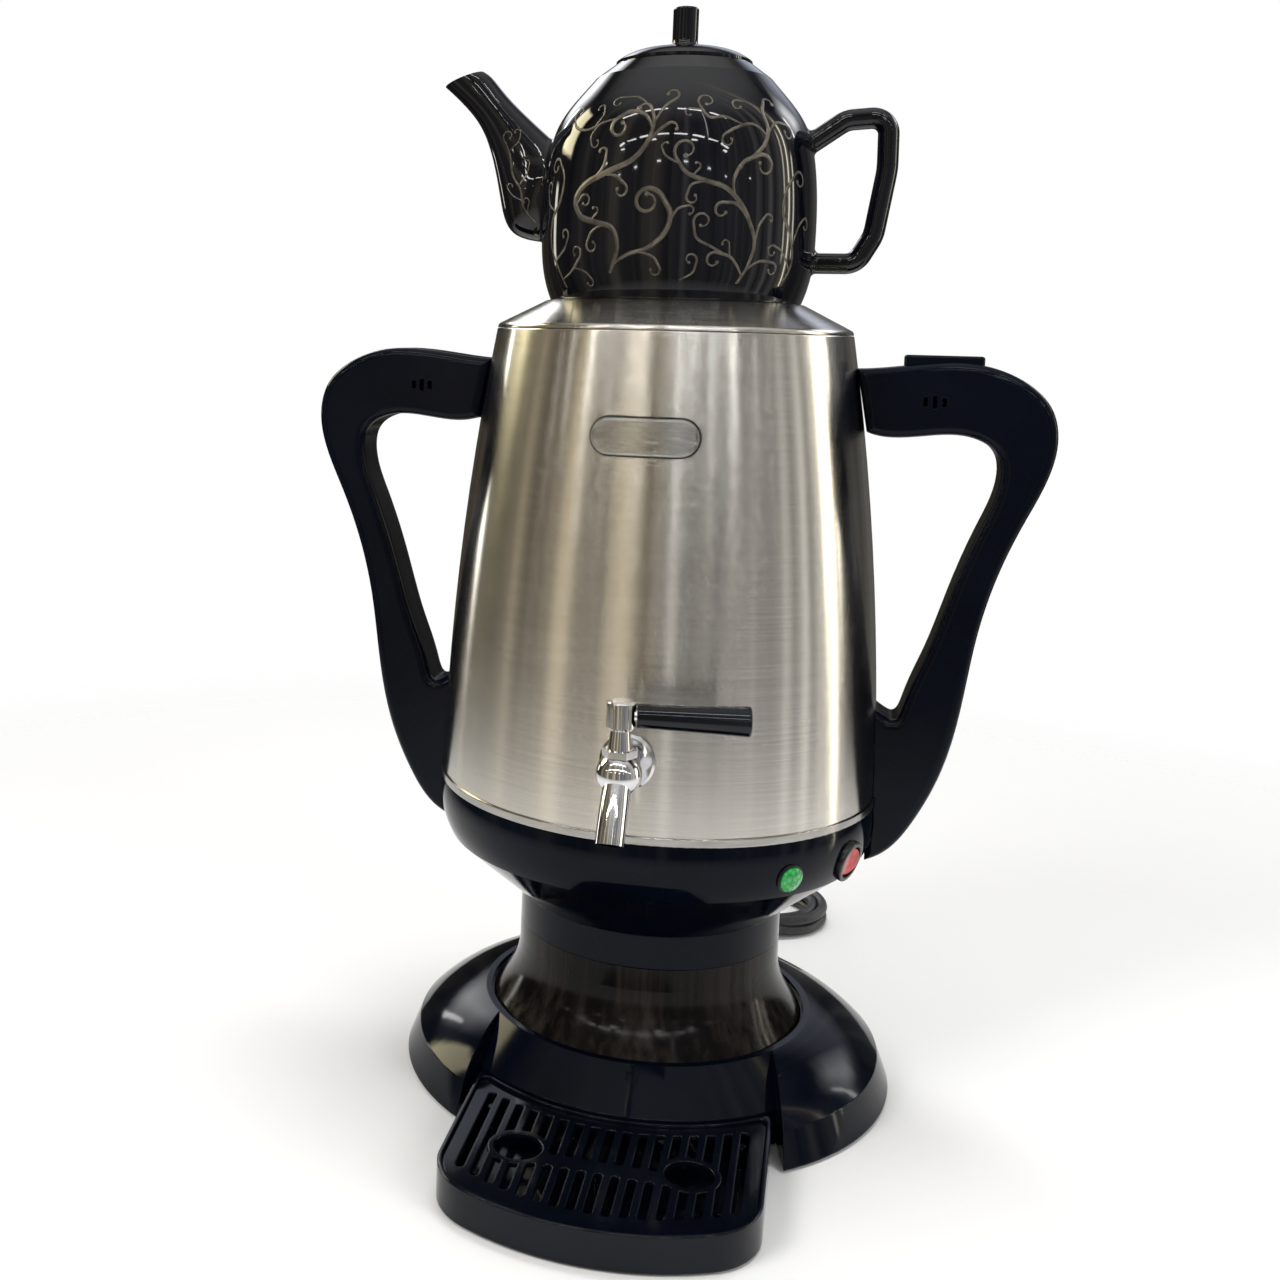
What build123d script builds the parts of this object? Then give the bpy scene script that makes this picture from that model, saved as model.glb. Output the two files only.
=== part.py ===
"""Electric samovar: a footed stand, a brushed steel tank with a tap, and a teapot on its lid.

Millimetres. The body axis is Z and z = 0 is the table. The tap and the drip tray face -Y,
the handles stand along X, and the pilot lamp and the switch are to the right of the tap.
"""
import os
from math import atan2, cos, degrees, pi, radians, sin, sqrt, tan

from build123d import *

# ---- clearances -------------------------------------------------------------
seat_gap = 0.3        # between pieces of different bodies
joint_gap = 0.1       # between fixed pieces that stand against each other
running_gap = 0.05    # radial, a shaft in its bore

# ---- foot -------------------------------------------------------------------
feet_radius, feet_height, feet_circle = 9.0, 2.6, 111.7
feet_angles = (35, 145, 215, 325)
foot_lift = 1.2               # lower edge of the shell over the table
foot_radius = 129.4
ridge_radius, ridge_z = 123.2, 17.0
collar_radius, collar_width, collar_z = 84.0, 3.4, 35.6
deck_z = 32.7                 # the pedestal stands here
foot_wall = 2.6
dome_bulge = 3.2              # how far the dome stands out of its straight line
apron_radius, apron_z = 108.0, 18.6
apron_half_width = 77.0
bay_back, bay_back_half, bay_front_half = 40.0, 68.0, 86.0
floor_plate = 2.0
floor_screw_circle, floor_screw_front = 96.0, 88.0
floor_screw_radius, screw_head_radius, screw_head, screw_post_radius = 1.5, 3.2, 1.4, 4.0

# ---- pedestal ---------------------------------------------------------------
skirt_foot_radius, skirt_wall = 83.0, 2.6
neck_radius, neck_height = 69.5, 43.8
skirt_waist = 0.26            # where the flare starts, as a share of the height
neck_bolt_circle, neck_bolt_radius = 50.0, 2.0

# ---- lower housing ----------------------------------------------------------
bowl_height, bowl_wall = 79.0, 2.6
bowl_rim_radius, bowl_belly_radius, bowl_belly_drop = 113.8, 114.7, 10.0
bowl_ridge_radius, bowl_ridge_rise = 109.3, 50.5
bowl_collar_rise, spigot_depth = 17.5, 7.0
ledge_width, ledge_wall = 15.0, 2.6

# ---- tank -------------------------------------------------------------------
band_height, band_proud, band_width = 4.4, 0.8, 7.0
jacket_radius, jacket_top_radius, jacket_height = 114.0, 91.5, 233.8
jacket_bulge, jacket_sheet = 4.6, 0.8
tank_air_gap, tank_sheet, tank_floor_rise, tank_corner = 4.2, 1.0, 9.0, 6.0
rim_lip = 4.6
support_radius, support_sheet, support_flange = 97.0, 1.2, 8.5
ledge_screw_radius = 1.9

# ---- lid --------------------------------------------------------------------
lid_rise, lid_sheet, lid_edge = 15.0, 1.0, 1.8
lid_seat_radius, steam_radius = 66.0, 24.0
lid_skirt_depth, lid_skirt_sheet, seal_height = 9.0, 1.2, 3.0

# ---- teapot -----------------------------------------------------------------
pot_wall = 4.0
pot_outline = ((64.3, 0.0), (68.6, 15.0), (70.0, 36.0), (68.6, 66.0), (62.0, 90.5), (51.0, 105.2), (44.8, 112.3))
pot_foot_ring = 5.0
pot_collar_radius, pot_collar_height = 35.0, 7.4
spout_lower = ((60, 30), (94, 52), (98, 70), (102, 82.5), (108, 93.5), (117, 103.5), (126, 111.5))
spout_upper = ((60, 84), (65, 82), (72, 87.5), (80.5, 95), (91, 105), (98.5, 113.5), (105.5, 119.4))
spout_half_depth = (17.0, 15.5, 13.0, 11.5, 10.2, 9.4, 8.8)
spout_wall = 3.2
strainer_hole_radius, strainer_pitch = 2.2, 7.5
pot_handle_route = ((60, 77), (82, 92), (102.5, 93.5), (103.0, 68), (98.0, 35.0), (90.0, 21.0), (60, 21.0))
pot_handle_fillets = (12, 8, 40, 18, 9)
pot_handle_half_width, pot_handle_half_depth = 5.2, 6.8
spout_blend, pot_handle_blend = 3.0, 2.5    # fillets where they meet the body
pot_lid_dome, pot_lid_top_radius, pot_lid_plug, pot_lid_wall = 7.6, 15.0, 9.0, 3.5
knob_radius, knob_height, knob_flare = 6.5, 21.5, 2.6

# ---- handles ----------------------------------------------------------------
# outline points: distance out from the tank's foot radius, and share of the jacket's height
grip_outer = ((-20, 0.931), (20, 0.948), (40, 0.945), (54.4, 0.925), (64.5, 0.898), (71.5, 0.865), (75.9, 0.796),
              (72.0, 0.707), (62.5, 0.613), (52.0, 0.497), (44.5, 0.369), (39.5, 0.223), (32.0, 0.074),
              (19.5, -0.048), (6.0, -0.124), (-3.5, -0.147))
grip_inner = ((-14, 0.797), (18, 0.795), (36.0, 0.793), (48.0, 0.761), (50.0, 0.695), (43.0, 0.605),
              (31.5, 0.469), (20.5, 0.319), (11.5, 0.212), (6.5, 0.174), (2.0, 0.182), (-6, 0.203))
grip_depth, grip_wall, grip_round = 30.0, 2.6, 4.5
grip_screws = ((46, 0.868), (58.5, 0.593), (30, 0.085))
grip_screw_radius, grip_head_radius, grip_boss_radius = 1.6, 2.6, 4.2
vent_out, vent_share, vent_pitch, vent_width, vent_lengths = 17.5, 0.866, 4.4, 2.1, (4.8, 6.6, 4.8)
button_out, button_size, button_proud = 21.5, (38.0, 15.0), 3.6
button_flange, button_skin, button_cap, button_corner = 1.5, 2.0, 2.4, 2.5
spring_radius, spring_wire, spring_turns = 4.0, 0.5, 5

# ---- badge ------------------------------------------------------------------
badge_size, badge_share, badge_thick = (50.6, 17.4), 0.790, 1.4
badge_rim, badge_recess = 2.0, 0.6

# ---- tap --------------------------------------------------------------------
tap_share, tap_tilt = 0.150, 3.5
rosette_radius, rosette_thick = 13.0, 3.0
tap_reach, tap_ball_radius = 27.5, 10.4
shank_radius, shank_bore = 6.0, 4.0
tap_collar_flats, tap_collar_rise, tap_collar_height = 13.8, 8.2, 3.2
tap_neck_radius, tap_neck_height = 4.4, 8.6
spindle_radius, cap_radius, cap_height = 2.8, 6.6, 13.0
cap_flutes, cap_flute_radius = 10, 1.1
nozzle_reach, nozzle_drop, nozzle_root_radius, nozzle_mouth_radius, nozzle_wall = 21.5, 26.0, 6.2, 6.5, 1.2
lever_length, lever_root_radius, lever_end_radius, lever_stub = 50.0, 5.3, 6.8, 9.0
lever_rest_angle = 8.0        # turned this far towards the tank when shut
nut_flats, nut_height, washer_radius, washer_thick = 19.0, 5.0, 10.5, 2.0

# ---- electrics --------------------------------------------------------------
heater_radius, heater_thick = 62.0, 5.5
element_radius, element_tube, element_gap_angle = 46.0, 4.0, 40.0
cold_pin_radius, cold_pin_drop = 2.6, 14.0
thermostat_radius, thermostat_height = 9.0, 11.0
cutout_size = (26.0, 9.0, 7.0)
terminal_size = (40.0, 18.0, 14.0)
lamp_angle, lamp_drop, lamp_radius, lamp_proud = 41.5, 17.8, 6.3, 2.4
lamp_rim, lamp_flush = 0.8, 0.6
lamp_bezel, lamp_bezel_thick, lamp_body_radius, lamp_body_depth = 0.9, 0.8, 5.2, 17.0
switch_angle, switch_drop, switch_radius, switch_bezel_thick = 64.0, 18.2, 10.6, 1.8
switch_body_radius, switch_body_depth = 9.4, 20.0
rocker_radius, rocker_hole, rocker_swing, rocker_pin_radius, rocker_valley = 7.2, 8.3, 14.0, 0.9, 0.6
gland_angle, gland_drop = 180.0, 20.0

# ---- drip tray --------------------------------------------------------------
tray_half_width, tray_reach, tray_front_radius, tray_corner = 73.2, 202.0, 125.0, 33.0
tray_lift, tray_top, tray_wall, tray_rim_drop = 1.0, 18.0, 2.2, 1.6
grille_thick, slot_width, slot_pitch, slot_columns, long_from = 2.4, 4.0, 7.7, 8, 7
slot_back_radius, slot_front_margin, slot_edge = 116.5, 14.0, 6.5
slot_bar = (146.5, 155.5)     # the bar across the middle, between the two rows of slots
finger_radius, finger_offset, finger_line, finger_rim = 11.3, 39.5, 144.5, 3.0
tray_post_radius = 2.5
tray_posts = ((-55, -165), (55, -165), (-60, -108), (60, -108), (0, -150), (0, -190))

# ---- cord -------------------------------------------------------------------
cord_diameter = 6.6
relief_length, relief_root_radius = 28.0, 6.5
cord_route = ((-1, 160, 134), (-5, 177.5, 125), (-11, 190, 109), (-17, 194, 89), (-22, 193, 69), (-24, 190, 49),
              (-20.5, 187, 30.5), (-9, 184.5, 13.5), (9, 183.6, 4.6), (29, 184.6, 3.6), (44, 185, 3.4))
tail_route = ((48, 259, 3.4), (30, 259.5, 5.2), (13, 261.5, 11.0), (-5, 264, 18.6), (-24, 264, 18.6))
coil_centre, coil_radius, coil_band, coil_round = (52.0, 222.0), 37.0, 13.4, 3.2
plug_radius, plug_head, plug_length, plug_tail_radius = 18.4, 16.0, 44.0, 5.0
plug_pin_radius, plug_pin_length, plug_pin_pitch = 2.4, 19.0, 19.0

# ---- derived levels ---------------------------------------------------------
neck_top_z = deck_z + neck_height
bowl_top_z = neck_top_z + bowl_height
jacket_z = bowl_top_z + band_height
seam_z = jacket_z + jacket_height
seat_z = seam_z + lid_rise
pot_z = seat_z + seat_gap
tank_floor_z = jacket_z + tank_floor_rise
heater_top_z = tank_floor_z - joint_gap


def at(r, z):
    """A point of an outline in the XZ plane."""
    return (r, 0, z)


def turned(*edges):
    """Solid turned about Z from edges that close an outline in the XZ plane."""
    return revolve(make_face(edges), Axis.Z)


def disc(radius, z_low, z_high, x=0, y=0):
    """Upright cylinder between two heights."""
    return Pos(x, y, z_low) * Cylinder(radius, z_high - z_low, align=(Align.CENTER, Align.CENTER, Align.MIN))


def tube(radius, bore, z_low, z_high, x=0, y=0):
    """Upright tube between two heights."""
    return disc(radius, z_low, z_high, x, y) - disc(bore, z_low - 1, z_high + 1, x, y)


def block(x_low, x_high, y_low, y_high, z_low, z_high):
    """Box from its limits."""
    size = (x_high - x_low, y_high - y_low, z_high - z_low)
    return Pos(x_low, y_low, z_low) * Box(*size, align=(Align.MIN, Align.MIN, Align.MIN))


def around(count, radius, start=0.0):
    """Evenly spaced (x, y) places on a circle."""
    turns = [radians(start + 360 * i / count) for i in range(count)]
    return [(radius * cos(t), radius * sin(t)) for t in turns]


def group(parts):
    """Separate solids that share one node."""
    return Compound(children=[s for p in parts for s in p.solids()])


def jacket_r(z):
    """Outer radius of the jacket at a height: an arc that bulges out of its chord."""
    run = jacket_radius - jacket_top_radius
    chord = sqrt(jacket_height ** 2 + run ** 2)
    arc = (chord ** 2 / 4 + jacket_bulge ** 2) / (2 * jacket_bulge)
    back = arc - jacket_bulge
    centre_r = (jacket_radius + jacket_top_radius) / 2 - back * jacket_height / chord
    centre_z = (jacket_z + seam_z) / 2 - back * run / chord
    return centre_r + sqrt(arc ** 2 - (z - centre_z) ** 2)


def jacket_arc(offset, z_low, z_high):
    """The jacket's outline between two heights, moved out by offset."""
    middle = (z_low + z_high) / 2
    return ThreePointArc(*[at(jacket_r(z) + offset, z) for z in (z_low, middle, z_high)])


def jacket_core(offset, z_low, z_high):
    """Everything inside the jacket's outline, moved out by offset."""
    side = jacket_arc(offset, z_low, z_high)
    low, high = side @ 0, side @ 1
    return turned(side, Line(high, at(0, z_high)), Line(at(0, z_high), at(0, z_low)), Line(at(0, z_low), low))


def bowl_outline(offset):
    """The lower housing's outline from its rim to its collar, moved in by offset."""
    belly_z = bowl_top_z - bowl_belly_drop
    ridge_at = neck_top_z + bowl_ridge_rise
    side = ThreePointArc(at(bowl_rim_radius - offset, bowl_top_z), at(bowl_belly_radius - offset, belly_z),
                         at(bowl_ridge_radius - offset, ridge_at + offset * 0.6))
    under = Line(side @ 1, at(neck_radius - offset, neck_top_z + bowl_collar_rise + offset * 0.6))
    return side, under


def bowl_core(offset, z_low):
    """Everything inside the lower housing's outline, down to z_low."""
    side, under = bowl_outline(offset)
    foot = at((under @ 1).X, z_low)
    top = at(0, bowl_top_z)
    return turned(side, under, Line(under @ 1, foot), Line(foot, at(0, z_low)), Line(at(0, z_low), top),
                  Line(top, side @ 0))


def body_envelope(gap):
    """The tank, its trim band and the lower housing, with a gap around them."""
    band = disc(jacket_radius + band_proud + gap, bowl_top_z - gap, jacket_z + gap)
    return jacket_core(gap, jacket_z, seam_z + gap) + band + bowl_core(-gap, neck_top_z)


# ---- foot -------------------------------------------------------------------
def foot_profile(inset):
    """The round foot's full outline, moved in by inset."""
    ridge, top = at(ridge_radius - inset, ridge_z - inset), at(collar_radius + collar_width, collar_z - inset)
    middle = ((ridge[0] + top[0]) / 2, (ridge[2] + top[2]) / 2)
    reach = sqrt((ridge[0] - top[0]) ** 2 + (ridge[2] - top[2]) ** 2)
    out = dome_bulge / reach
    crown = at(middle[0] + (top[2] - ridge[2]) * out, middle[1] + (ridge[0] - top[0]) * out)
    low = at(foot_radius - inset, foot_lift - inset)
    return turned(Line(low, ridge), ThreePointArc(ridge, crown, top), Line(top, at(0, top[2])),
                  Line(at(0, top[2]), at(0, low[2])), Line(at(0, low[2]), low))


def apron_profile(inset):
    """The lower front of the foot, behind the tray, moved in by inset."""
    edge, top = at(apron_radius - inset, apron_z - inset), at(collar_radius + collar_width, collar_z - inset)
    low = at(apron_radius - inset, foot_lift - inset)
    return turned(Line(low, edge), Line(edge, top), Line(top, at(0, top[2])), Line(at(0, top[2]), at(0, low[2])),
                  Line(at(0, low[2]), low))


def bay(grow):
    """The space between the foot's two lobes, grown by grow."""
    back, front = bay_back_half + grow, bay_front_half + grow
    ahead = foot_radius + 5
    outline = Polyline((-back, -bay_back), (-front, -ahead), (front, -ahead), (back, -bay_back), (0, 0),
                       (-back, -bay_back))
    wedge = extrude(make_face(outline), amount=collar_z + 10)
    return wedge - disc(collar_radius + collar_width - grow, -1, collar_z + 20)


def foot_block(inset):
    """The foot's outer form, moved in by inset: lobes and the apron between them."""
    half = apron_half_width - inset
    apron = apron_profile(inset) & block(-half, half, -foot_radius, 0, -5, collar_z + 5)
    return (foot_profile(inset) - bay(inset)) + apron


def make_foot():
    shell = foot_block(0) - foot_block(foot_wall)
    well = disc(collar_radius - joint_gap, deck_z, collar_z + 5)
    deck = disc(collar_radius + collar_width / 2, deck_z - foot_wall, deck_z)
    shell = (shell - well) + deck
    plate_top = feet_height + floor_plate
    core = foot_block(foot_wall / 2)
    for x, y in floor_screw_places():
        shell += disc(screw_post_radius, plate_top + joint_gap, collar_z, x, y) & core
        shell -= disc(floor_screw_radius + running_gap, plate_top - 1, ridge_z + 1, x, y)
    for x, y in around(4, neck_bolt_circle, 45):
        shell -= disc(neck_bolt_radius + 0.2, deck_z - 10, deck_z + 10, x, y)
    return shell


def floor_screw_places():
    """Three screws on the circle and one nearer the middle, behind the tray."""
    return around(4, floor_screw_circle)[:3] + [(0, -floor_screw_front)]


def make_floor_parts():
    low, high = feet_height, feet_height + floor_plate
    plate = foot_block(foot_wall + joint_gap) & block(-200, 200, -200, 200, low, high)
    screws = []
    for x, y in floor_screw_places():
        plate -= disc(floor_screw_radius + joint_gap, 0, high + 1, x, y)
        head = disc(screw_head_radius, low - screw_head, low, x, y)
        screws.append(head + disc(floor_screw_radius, low, ridge_z, x, y))
    feet = []
    for turn in feet_angles:
        x, y = around(1, feet_circle, turn)[0]
        feet.append(chamfer(disc(feet_radius, 0, low, x, y).edges().group_by(Axis.Z)[0], 0.8))
    return {"base_floor": plate, "floor_screws": group(screws), "rubber_feet": group(feet)}


# ---- pedestal ---------------------------------------------------------------
def make_neck():
    waist_z = neck_top_z - neck_height * skirt_waist
    foot, waist, top = at(skirt_foot_radius, deck_z), at(neck_radius, waist_z), at(neck_radius, neck_top_z)
    flare = Spline(foot, waist, tangents=((-0.55, 0, 0.84), (0, 0, 1)))
    outside = turned(flare, Line(waist, top), Line(top, at(0, neck_top_z)), Line(at(0, neck_top_z), at(0, deck_z)),
                     Line(at(0, deck_z), foot))
    inner = [at(r - skirt_wall, z) for r, z in ((skirt_foot_radius, deck_z), (neck_radius, waist_z),
                                                (neck_radius, neck_top_z))]
    flare_in = Spline(inner[0], inner[1], tangents=((-0.55, 0, 0.84), (0, 0, 1)))
    hollow = turned(flare_in, Line(inner[1], inner[2]), Line(inner[2], at(0, neck_top_z)),
                    Line(at(0, neck_top_z), at(0, deck_z)), Line(at(0, deck_z), inner[0]))
    bolts = []
    head = 3.0
    for x, y in around(4, neck_bolt_circle, 45):
        bolts.append(disc(4.2, deck_z - foot_wall - head, deck_z - foot_wall, x, y)
                     + disc(neck_bolt_radius, deck_z - foot_wall, neck_top_z - 2, x, y))
    return {"neck_skirt": outside - hollow, "neck_bolts": group(bolts)}


# ---- lower housing ----------------------------------------------------------
def bowl_r(z):
    """Outer radius of the lower housing's side at a height."""
    side = bowl_outline(0)[0]
    low, high = 0.0, 1.0
    for _ in range(30):
        share = (low + high) / 2
        low, high = (share, high) if (side @ share).Z > z else (low, share)
    return (side @ low).X


def on_bowl(angle, drop):
    """Plane on the lower housing's side: x runs round it to the right, y up, z out."""
    z, t = bowl_top_z - drop, radians(angle)
    step = 1.0
    lean = atan2(bowl_r(z + step) - bowl_r(z - step), 2 * step)
    normal = (sin(t) * cos(lean), -cos(t) * cos(lean), -sin(lean))
    return Plane(origin=(bowl_r(z) * sin(t), -bowl_r(z) * cos(t), z), x_dir=(cos(t), sin(t), 0), z_dir=normal)


def make_bowl():
    floor, spigot = 3.0, 2.6
    shell = bowl_core(0, neck_top_z) - bowl_core(bowl_wall, neck_top_z + floor)
    ledge_out = bowl_rim_radius - bowl_wall / 2
    shell += tube(ledge_out, bowl_rim_radius - bowl_wall - ledge_width, bowl_top_z - ledge_wall, bowl_top_z)
    spigot_out = neck_radius - skirt_wall - joint_gap
    shell += tube(spigot_out, spigot_out - spigot, neck_top_z - spigot_depth, neck_top_z + 1)
    for x, y in around(4, neck_bolt_circle, 45):
        shell += disc(5.0, neck_top_z - 12, neck_top_z + 1, x, y)
        shell -= disc(neck_bolt_radius + running_gap, neck_top_z - 13, neck_top_z - 1.5, x, y)
    for x, y in around(4, ledge_screw_circle(), 45):
        shell -= disc(ledge_screw_radius + joint_gap, bowl_top_z - 10, bowl_top_z + 1, x, y)
    lamp, switch = on_bowl(lamp_angle, lamp_drop), on_bowl(switch_angle, switch_drop)
    shell -= lamp * Cylinder(lamp_body_radius + joint_gap, 20)
    shell -= switch * Cylinder(switch_body_radius + joint_gap, 20)
    shell -= gland_plane() * Cylinder(relief_root_radius + joint_gap, 30)
    return shell


def ledge_screw_circle():
    return support_radius + support_sheet + support_flange / 2


# ---- tank -------------------------------------------------------------------
def tap_hole(radius, gap):
    """Cylinder along the tap's axis, through the tank's wall."""
    return tap_plane() * Cylinder(radius + gap, 40)


def make_tank():
    lip_z = seam_z - jacket_sheet
    outside, inside = jacket_core(0, jacket_z, seam_z), jacket_core(-jacket_sheet, jacket_z - 1, lip_z)
    mouth = jacket_top_radius - rim_lip
    jacket = outside - inside - disc(mouth, lip_z - 1, seam_z + 1)
    jacket = fillet(jacket.edges().group_by(Axis.Z)[-1].sort_by(SortBy.RADIUS)[-1], jacket_sheet * 0.9)
    jacket -= tap_hole(shank_radius, joint_gap)

    wall_out, wall_in = -(jacket_sheet + tank_air_gap), -(jacket_sheet + tank_air_gap + tank_sheet)
    top = lip_z - joint_gap
    vessel = jacket_core(wall_out, tank_floor_z, top)
    vessel = fillet(vessel.edges().group_by(Axis.Z)[0], tank_corner)
    void = jacket_core(wall_in, tank_floor_z + tank_sheet, top)
    void = fillet(void.edges().group_by(Axis.Z)[0], tank_corner - tank_sheet)
    flange = tube(jacket_r(top) - jacket_sheet - joint_gap, jacket_r(top) + wall_in, top - tank_sheet, top)
    vessel = (vessel - void) + flange - tap_hole(shank_radius, joint_gap)

    band_out = jacket_radius + band_proud
    band = tube(band_out, jacket_radius - band_width, bowl_top_z, jacket_z)
    rims = [e for e in band.edges().filter_by(GeomType.CIRCLE) if abs(e.radius - band_out) < 0.01]
    band = fillet(rims, band_proud * 0.8)

    ring = tube(support_radius + support_sheet, support_radius, bowl_top_z, tank_floor_z - joint_gap)
    flange_out = support_radius + support_sheet + support_flange
    ring += tube(flange_out, support_radius, bowl_top_z, bowl_top_z + support_sheet)
    screws = []
    for x, y in around(4, ledge_screw_circle(), 45):
        ring -= disc(ledge_screw_radius + joint_gap, bowl_top_z - 1, bowl_top_z + 5, x, y)
        low = bowl_top_z - ledge_wall
        screws.append(disc(3.4, low - 1.8, low, x, y)
                      + disc(ledge_screw_radius, low, bowl_top_z + support_sheet + 1.5, x, y))
    return {"tank_shell": jacket, "inner_tank": vessel, "trim_band": band, "support_ring": ring,
            "ledge_screws": group(screws)}


def mouth_radius():
    """Inner radius of the tank's mouth."""
    return jacket_r(seam_z) - jacket_sheet - tank_air_gap - tank_sheet


def lid_solid(inset):
    """The lid's form down to the seam, moved in by inset."""
    low, edge = seam_z + seat_gap, jacket_top_radius - 0.2 - inset
    shoulder, seat = at(edge, low + lid_edge), at(lid_seat_radius, seat_z - inset)
    corners = [at(edge, low - inset), shoulder, seat, at(0, seat_z - inset), at(0, low - inset)]
    form = turned(Polyline(*corners, close=True))
    bends = [e for e in form.edges().filter_by(GeomType.CIRCLE) if e.center().Z > low + lid_edge / 2]
    return fillet(bends, 2.4)


def make_lid():
    lid = lid_solid(0) - lid_solid(lid_sheet) - disc(steam_radius, seat_z - 5, seat_z + 5)
    lid += tube(steam_radius + lid_sheet, steam_radius, seat_z - 5, seat_z - lid_sheet / 2)
    skirt_out = mouth_radius() - lid_skirt_sheet
    skirt = tube(skirt_out, skirt_out - lid_skirt_sheet, seam_z - lid_skirt_depth, seat_z)
    skirt &= lid_solid(lid_sheet + joint_gap) + disc(skirt_out + 1, seam_z - lid_skirt_depth - 1, seam_z + seat_gap)
    seal_low = seam_z - lid_skirt_depth + 1.2
    seal = tube(mouth_radius() - seat_gap, skirt_out + 0.02, seal_low, seal_low + seal_height)
    return {"tank_lid": lid, "lid_skirt": skirt, "lid_seal": seal}


# ---- teapot -----------------------------------------------------------------
def inset_outline(points, amount):
    """Points of an open outline moved to its left by amount."""
    moved = []
    for i, (r, z) in enumerate(points):
        (r0, z0), (r1, z1) = points[max(i - 1, 0)], points[min(i + 1, len(points) - 1)]
        length = sqrt((r1 - r0) ** 2 + (z1 - z0) ** 2)
        moved.append((r - (z1 - z0) / length * amount, z + (r1 - r0) / length * amount))
    return moved


def pot_form(inset):
    """The teapot's body of revolution, moved in by inset."""
    points = inset_outline(pot_outline, inset)
    wall = Spline(*[at(r, pot_z + max(z, inset)) for r, z in points])
    collar_z_top = pot_z + pot_outline[-1][1] + pot_collar_height
    rim = at(pot_collar_radius - inset, collar_z_top if inset == 0 else collar_z_top + 1)
    collar = Line(wall @ 1, rim)
    base = at(0, (wall @ 0).Z)
    return turned(wall, collar, Line(rim, at(0, rim[2])), Line(at(0, rim[2]), base), Line(base, wall @ 0))


def spout_form(inset):
    """The spout, lofted through its stations, moved in by inset."""
    sections = []
    for (r0, z0), (r1, z1), depth in zip(spout_lower, spout_upper, spout_half_depth):
        half = sqrt((r1 - r0) ** 2 + (z1 - z0) ** 2) / 2
        across = Vector(-(r1 - r0), 0, z1 - z0).normalized()
        centre = (-(r0 + r1) / 2, 0, pot_z + (z0 + z1) / 2)
        station = Plane(origin=centre, x_dir=across, z_dir=across.cross(Vector(0, 1, 0)))
        sections.append(station * Ellipse(half - inset, depth - inset))
    return loft(sections)


def blended(form, limb, radius):
    """A limb added to a form, with a fillet along the line where their surfaces meet."""
    both = form + limb
    meeting = []
    for edge in both.edges():
        spots = [edge @ share for share in (0.3, 0.7)]
        reach = [min(face.distance_to(spot) for face in shape.faces()) for shape in (form, limb) for spot in spots]
        if max(reach) < 0.01:
            meeting.append(edge)
    return fillet(meeting, radius)


def make_teapot():
    outside, inside = Rot(0, 0, 90) * pot_form(0), pot_form(pot_wall)
    route = [(x, 0, pot_z + z) for x, z in pot_handle_route]
    path = FilletPolyline(*route, radius=list(pot_handle_fillets))
    ring = Ellipse(pot_handle_half_depth, pot_handle_half_width)
    handle = sweep(Plane(origin=path @ 0, x_dir=(0, 1, 0), z_dir=path % 0) * ring, path)
    body = blended(outside, spout_form(0), spout_blend)
    body = blended(body, handle, pot_handle_blend) - inside
    body -= spout_form(spout_wall) - outside
    body -= disc(pot_outline[0][0] - pot_foot_ring, pot_z - 1, pot_z + 1.2)
    hole = Rot(0, 90, 0) * Cylinder(strainer_hole_radius, 4 * pot_wall)
    root_z = pot_z + (spout_lower[0][1] + spout_upper[0][1]) / 2
    for y in (-strainer_pitch, 0, strainer_pitch):
        for step in (-1, 0, 1):
            body -= Pos(-pot_outline[2][0] + pot_wall / 2, y, root_z - 4 + step * strainer_pitch) * hole
    return body


def make_pot_lid():
    low = pot_z + pot_outline[-1][1] + pot_collar_height + seat_gap
    edge, crown_z = pot_collar_radius - 0.5, low + pot_lid_dome
    rim, crown = at(edge, low + 1.4), at(pot_lid_top_radius, crown_z)
    dome = ThreePointArc(rim, at((edge + pot_lid_top_radius) / 2 + 1.0, (rim[2] + crown_z) / 2 + 1.6), crown)
    top_z = crown_z + knob_height
    neck = Spline(crown, at(knob_radius, crown_z + 2 * knob_flare), tangents=((-1, 0, 0.15), (0, 0, 1)))
    stem = Line(neck @ 1, at(knob_radius, top_z - 1.2))
    cap = ThreePointArc(stem @ 1, at(knob_radius - 0.4, top_z - 0.4), at(knob_radius - 1.4, top_z))
    lid = turned(Line(at(0, low), at(edge, low)), Line(at(edge, low), rim), dome, neck, stem, cap,
                 Line(cap @ 1, at(0, top_z)), Line(at(0, top_z), at(0, low)))
    plug_out = pot_collar_radius - pot_wall - 0.8
    return lid + tube(plug_out, plug_out - pot_lid_wall, low - pot_lid_plug, low)


# ---- handles: solids --------------------------------------------------------
def grip_point(out, share):
    """A point of the right handle's outline in the XZ plane."""
    return (jacket_radius + out, 0, jacket_z + share * jacket_height)


def shifted(curve, amount, samples=36):
    """A spline beside a curve in the XZ plane."""
    points = []
    for i in range(samples + 1):
        share = i / samples
        points.append(curve @ share + (curve % share).cross(Vector(0, 1, 0)) * amount)
    return Spline(*points)


def grip_face(inset=0.0):
    """The right handle's outline as a face, moved in by inset."""
    outer = Spline(*[grip_point(*p) for p in grip_outer])
    inner = Spline(*[grip_point(*p) for p in grip_inner])
    if inset:
        outer, inner = shifted(outer, -inset), shifted(inner, inset)
    return make_face([outer, Line(outer @ 1, inner @ 1), inner, Line(inner @ 0, outer @ 0)])


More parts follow.
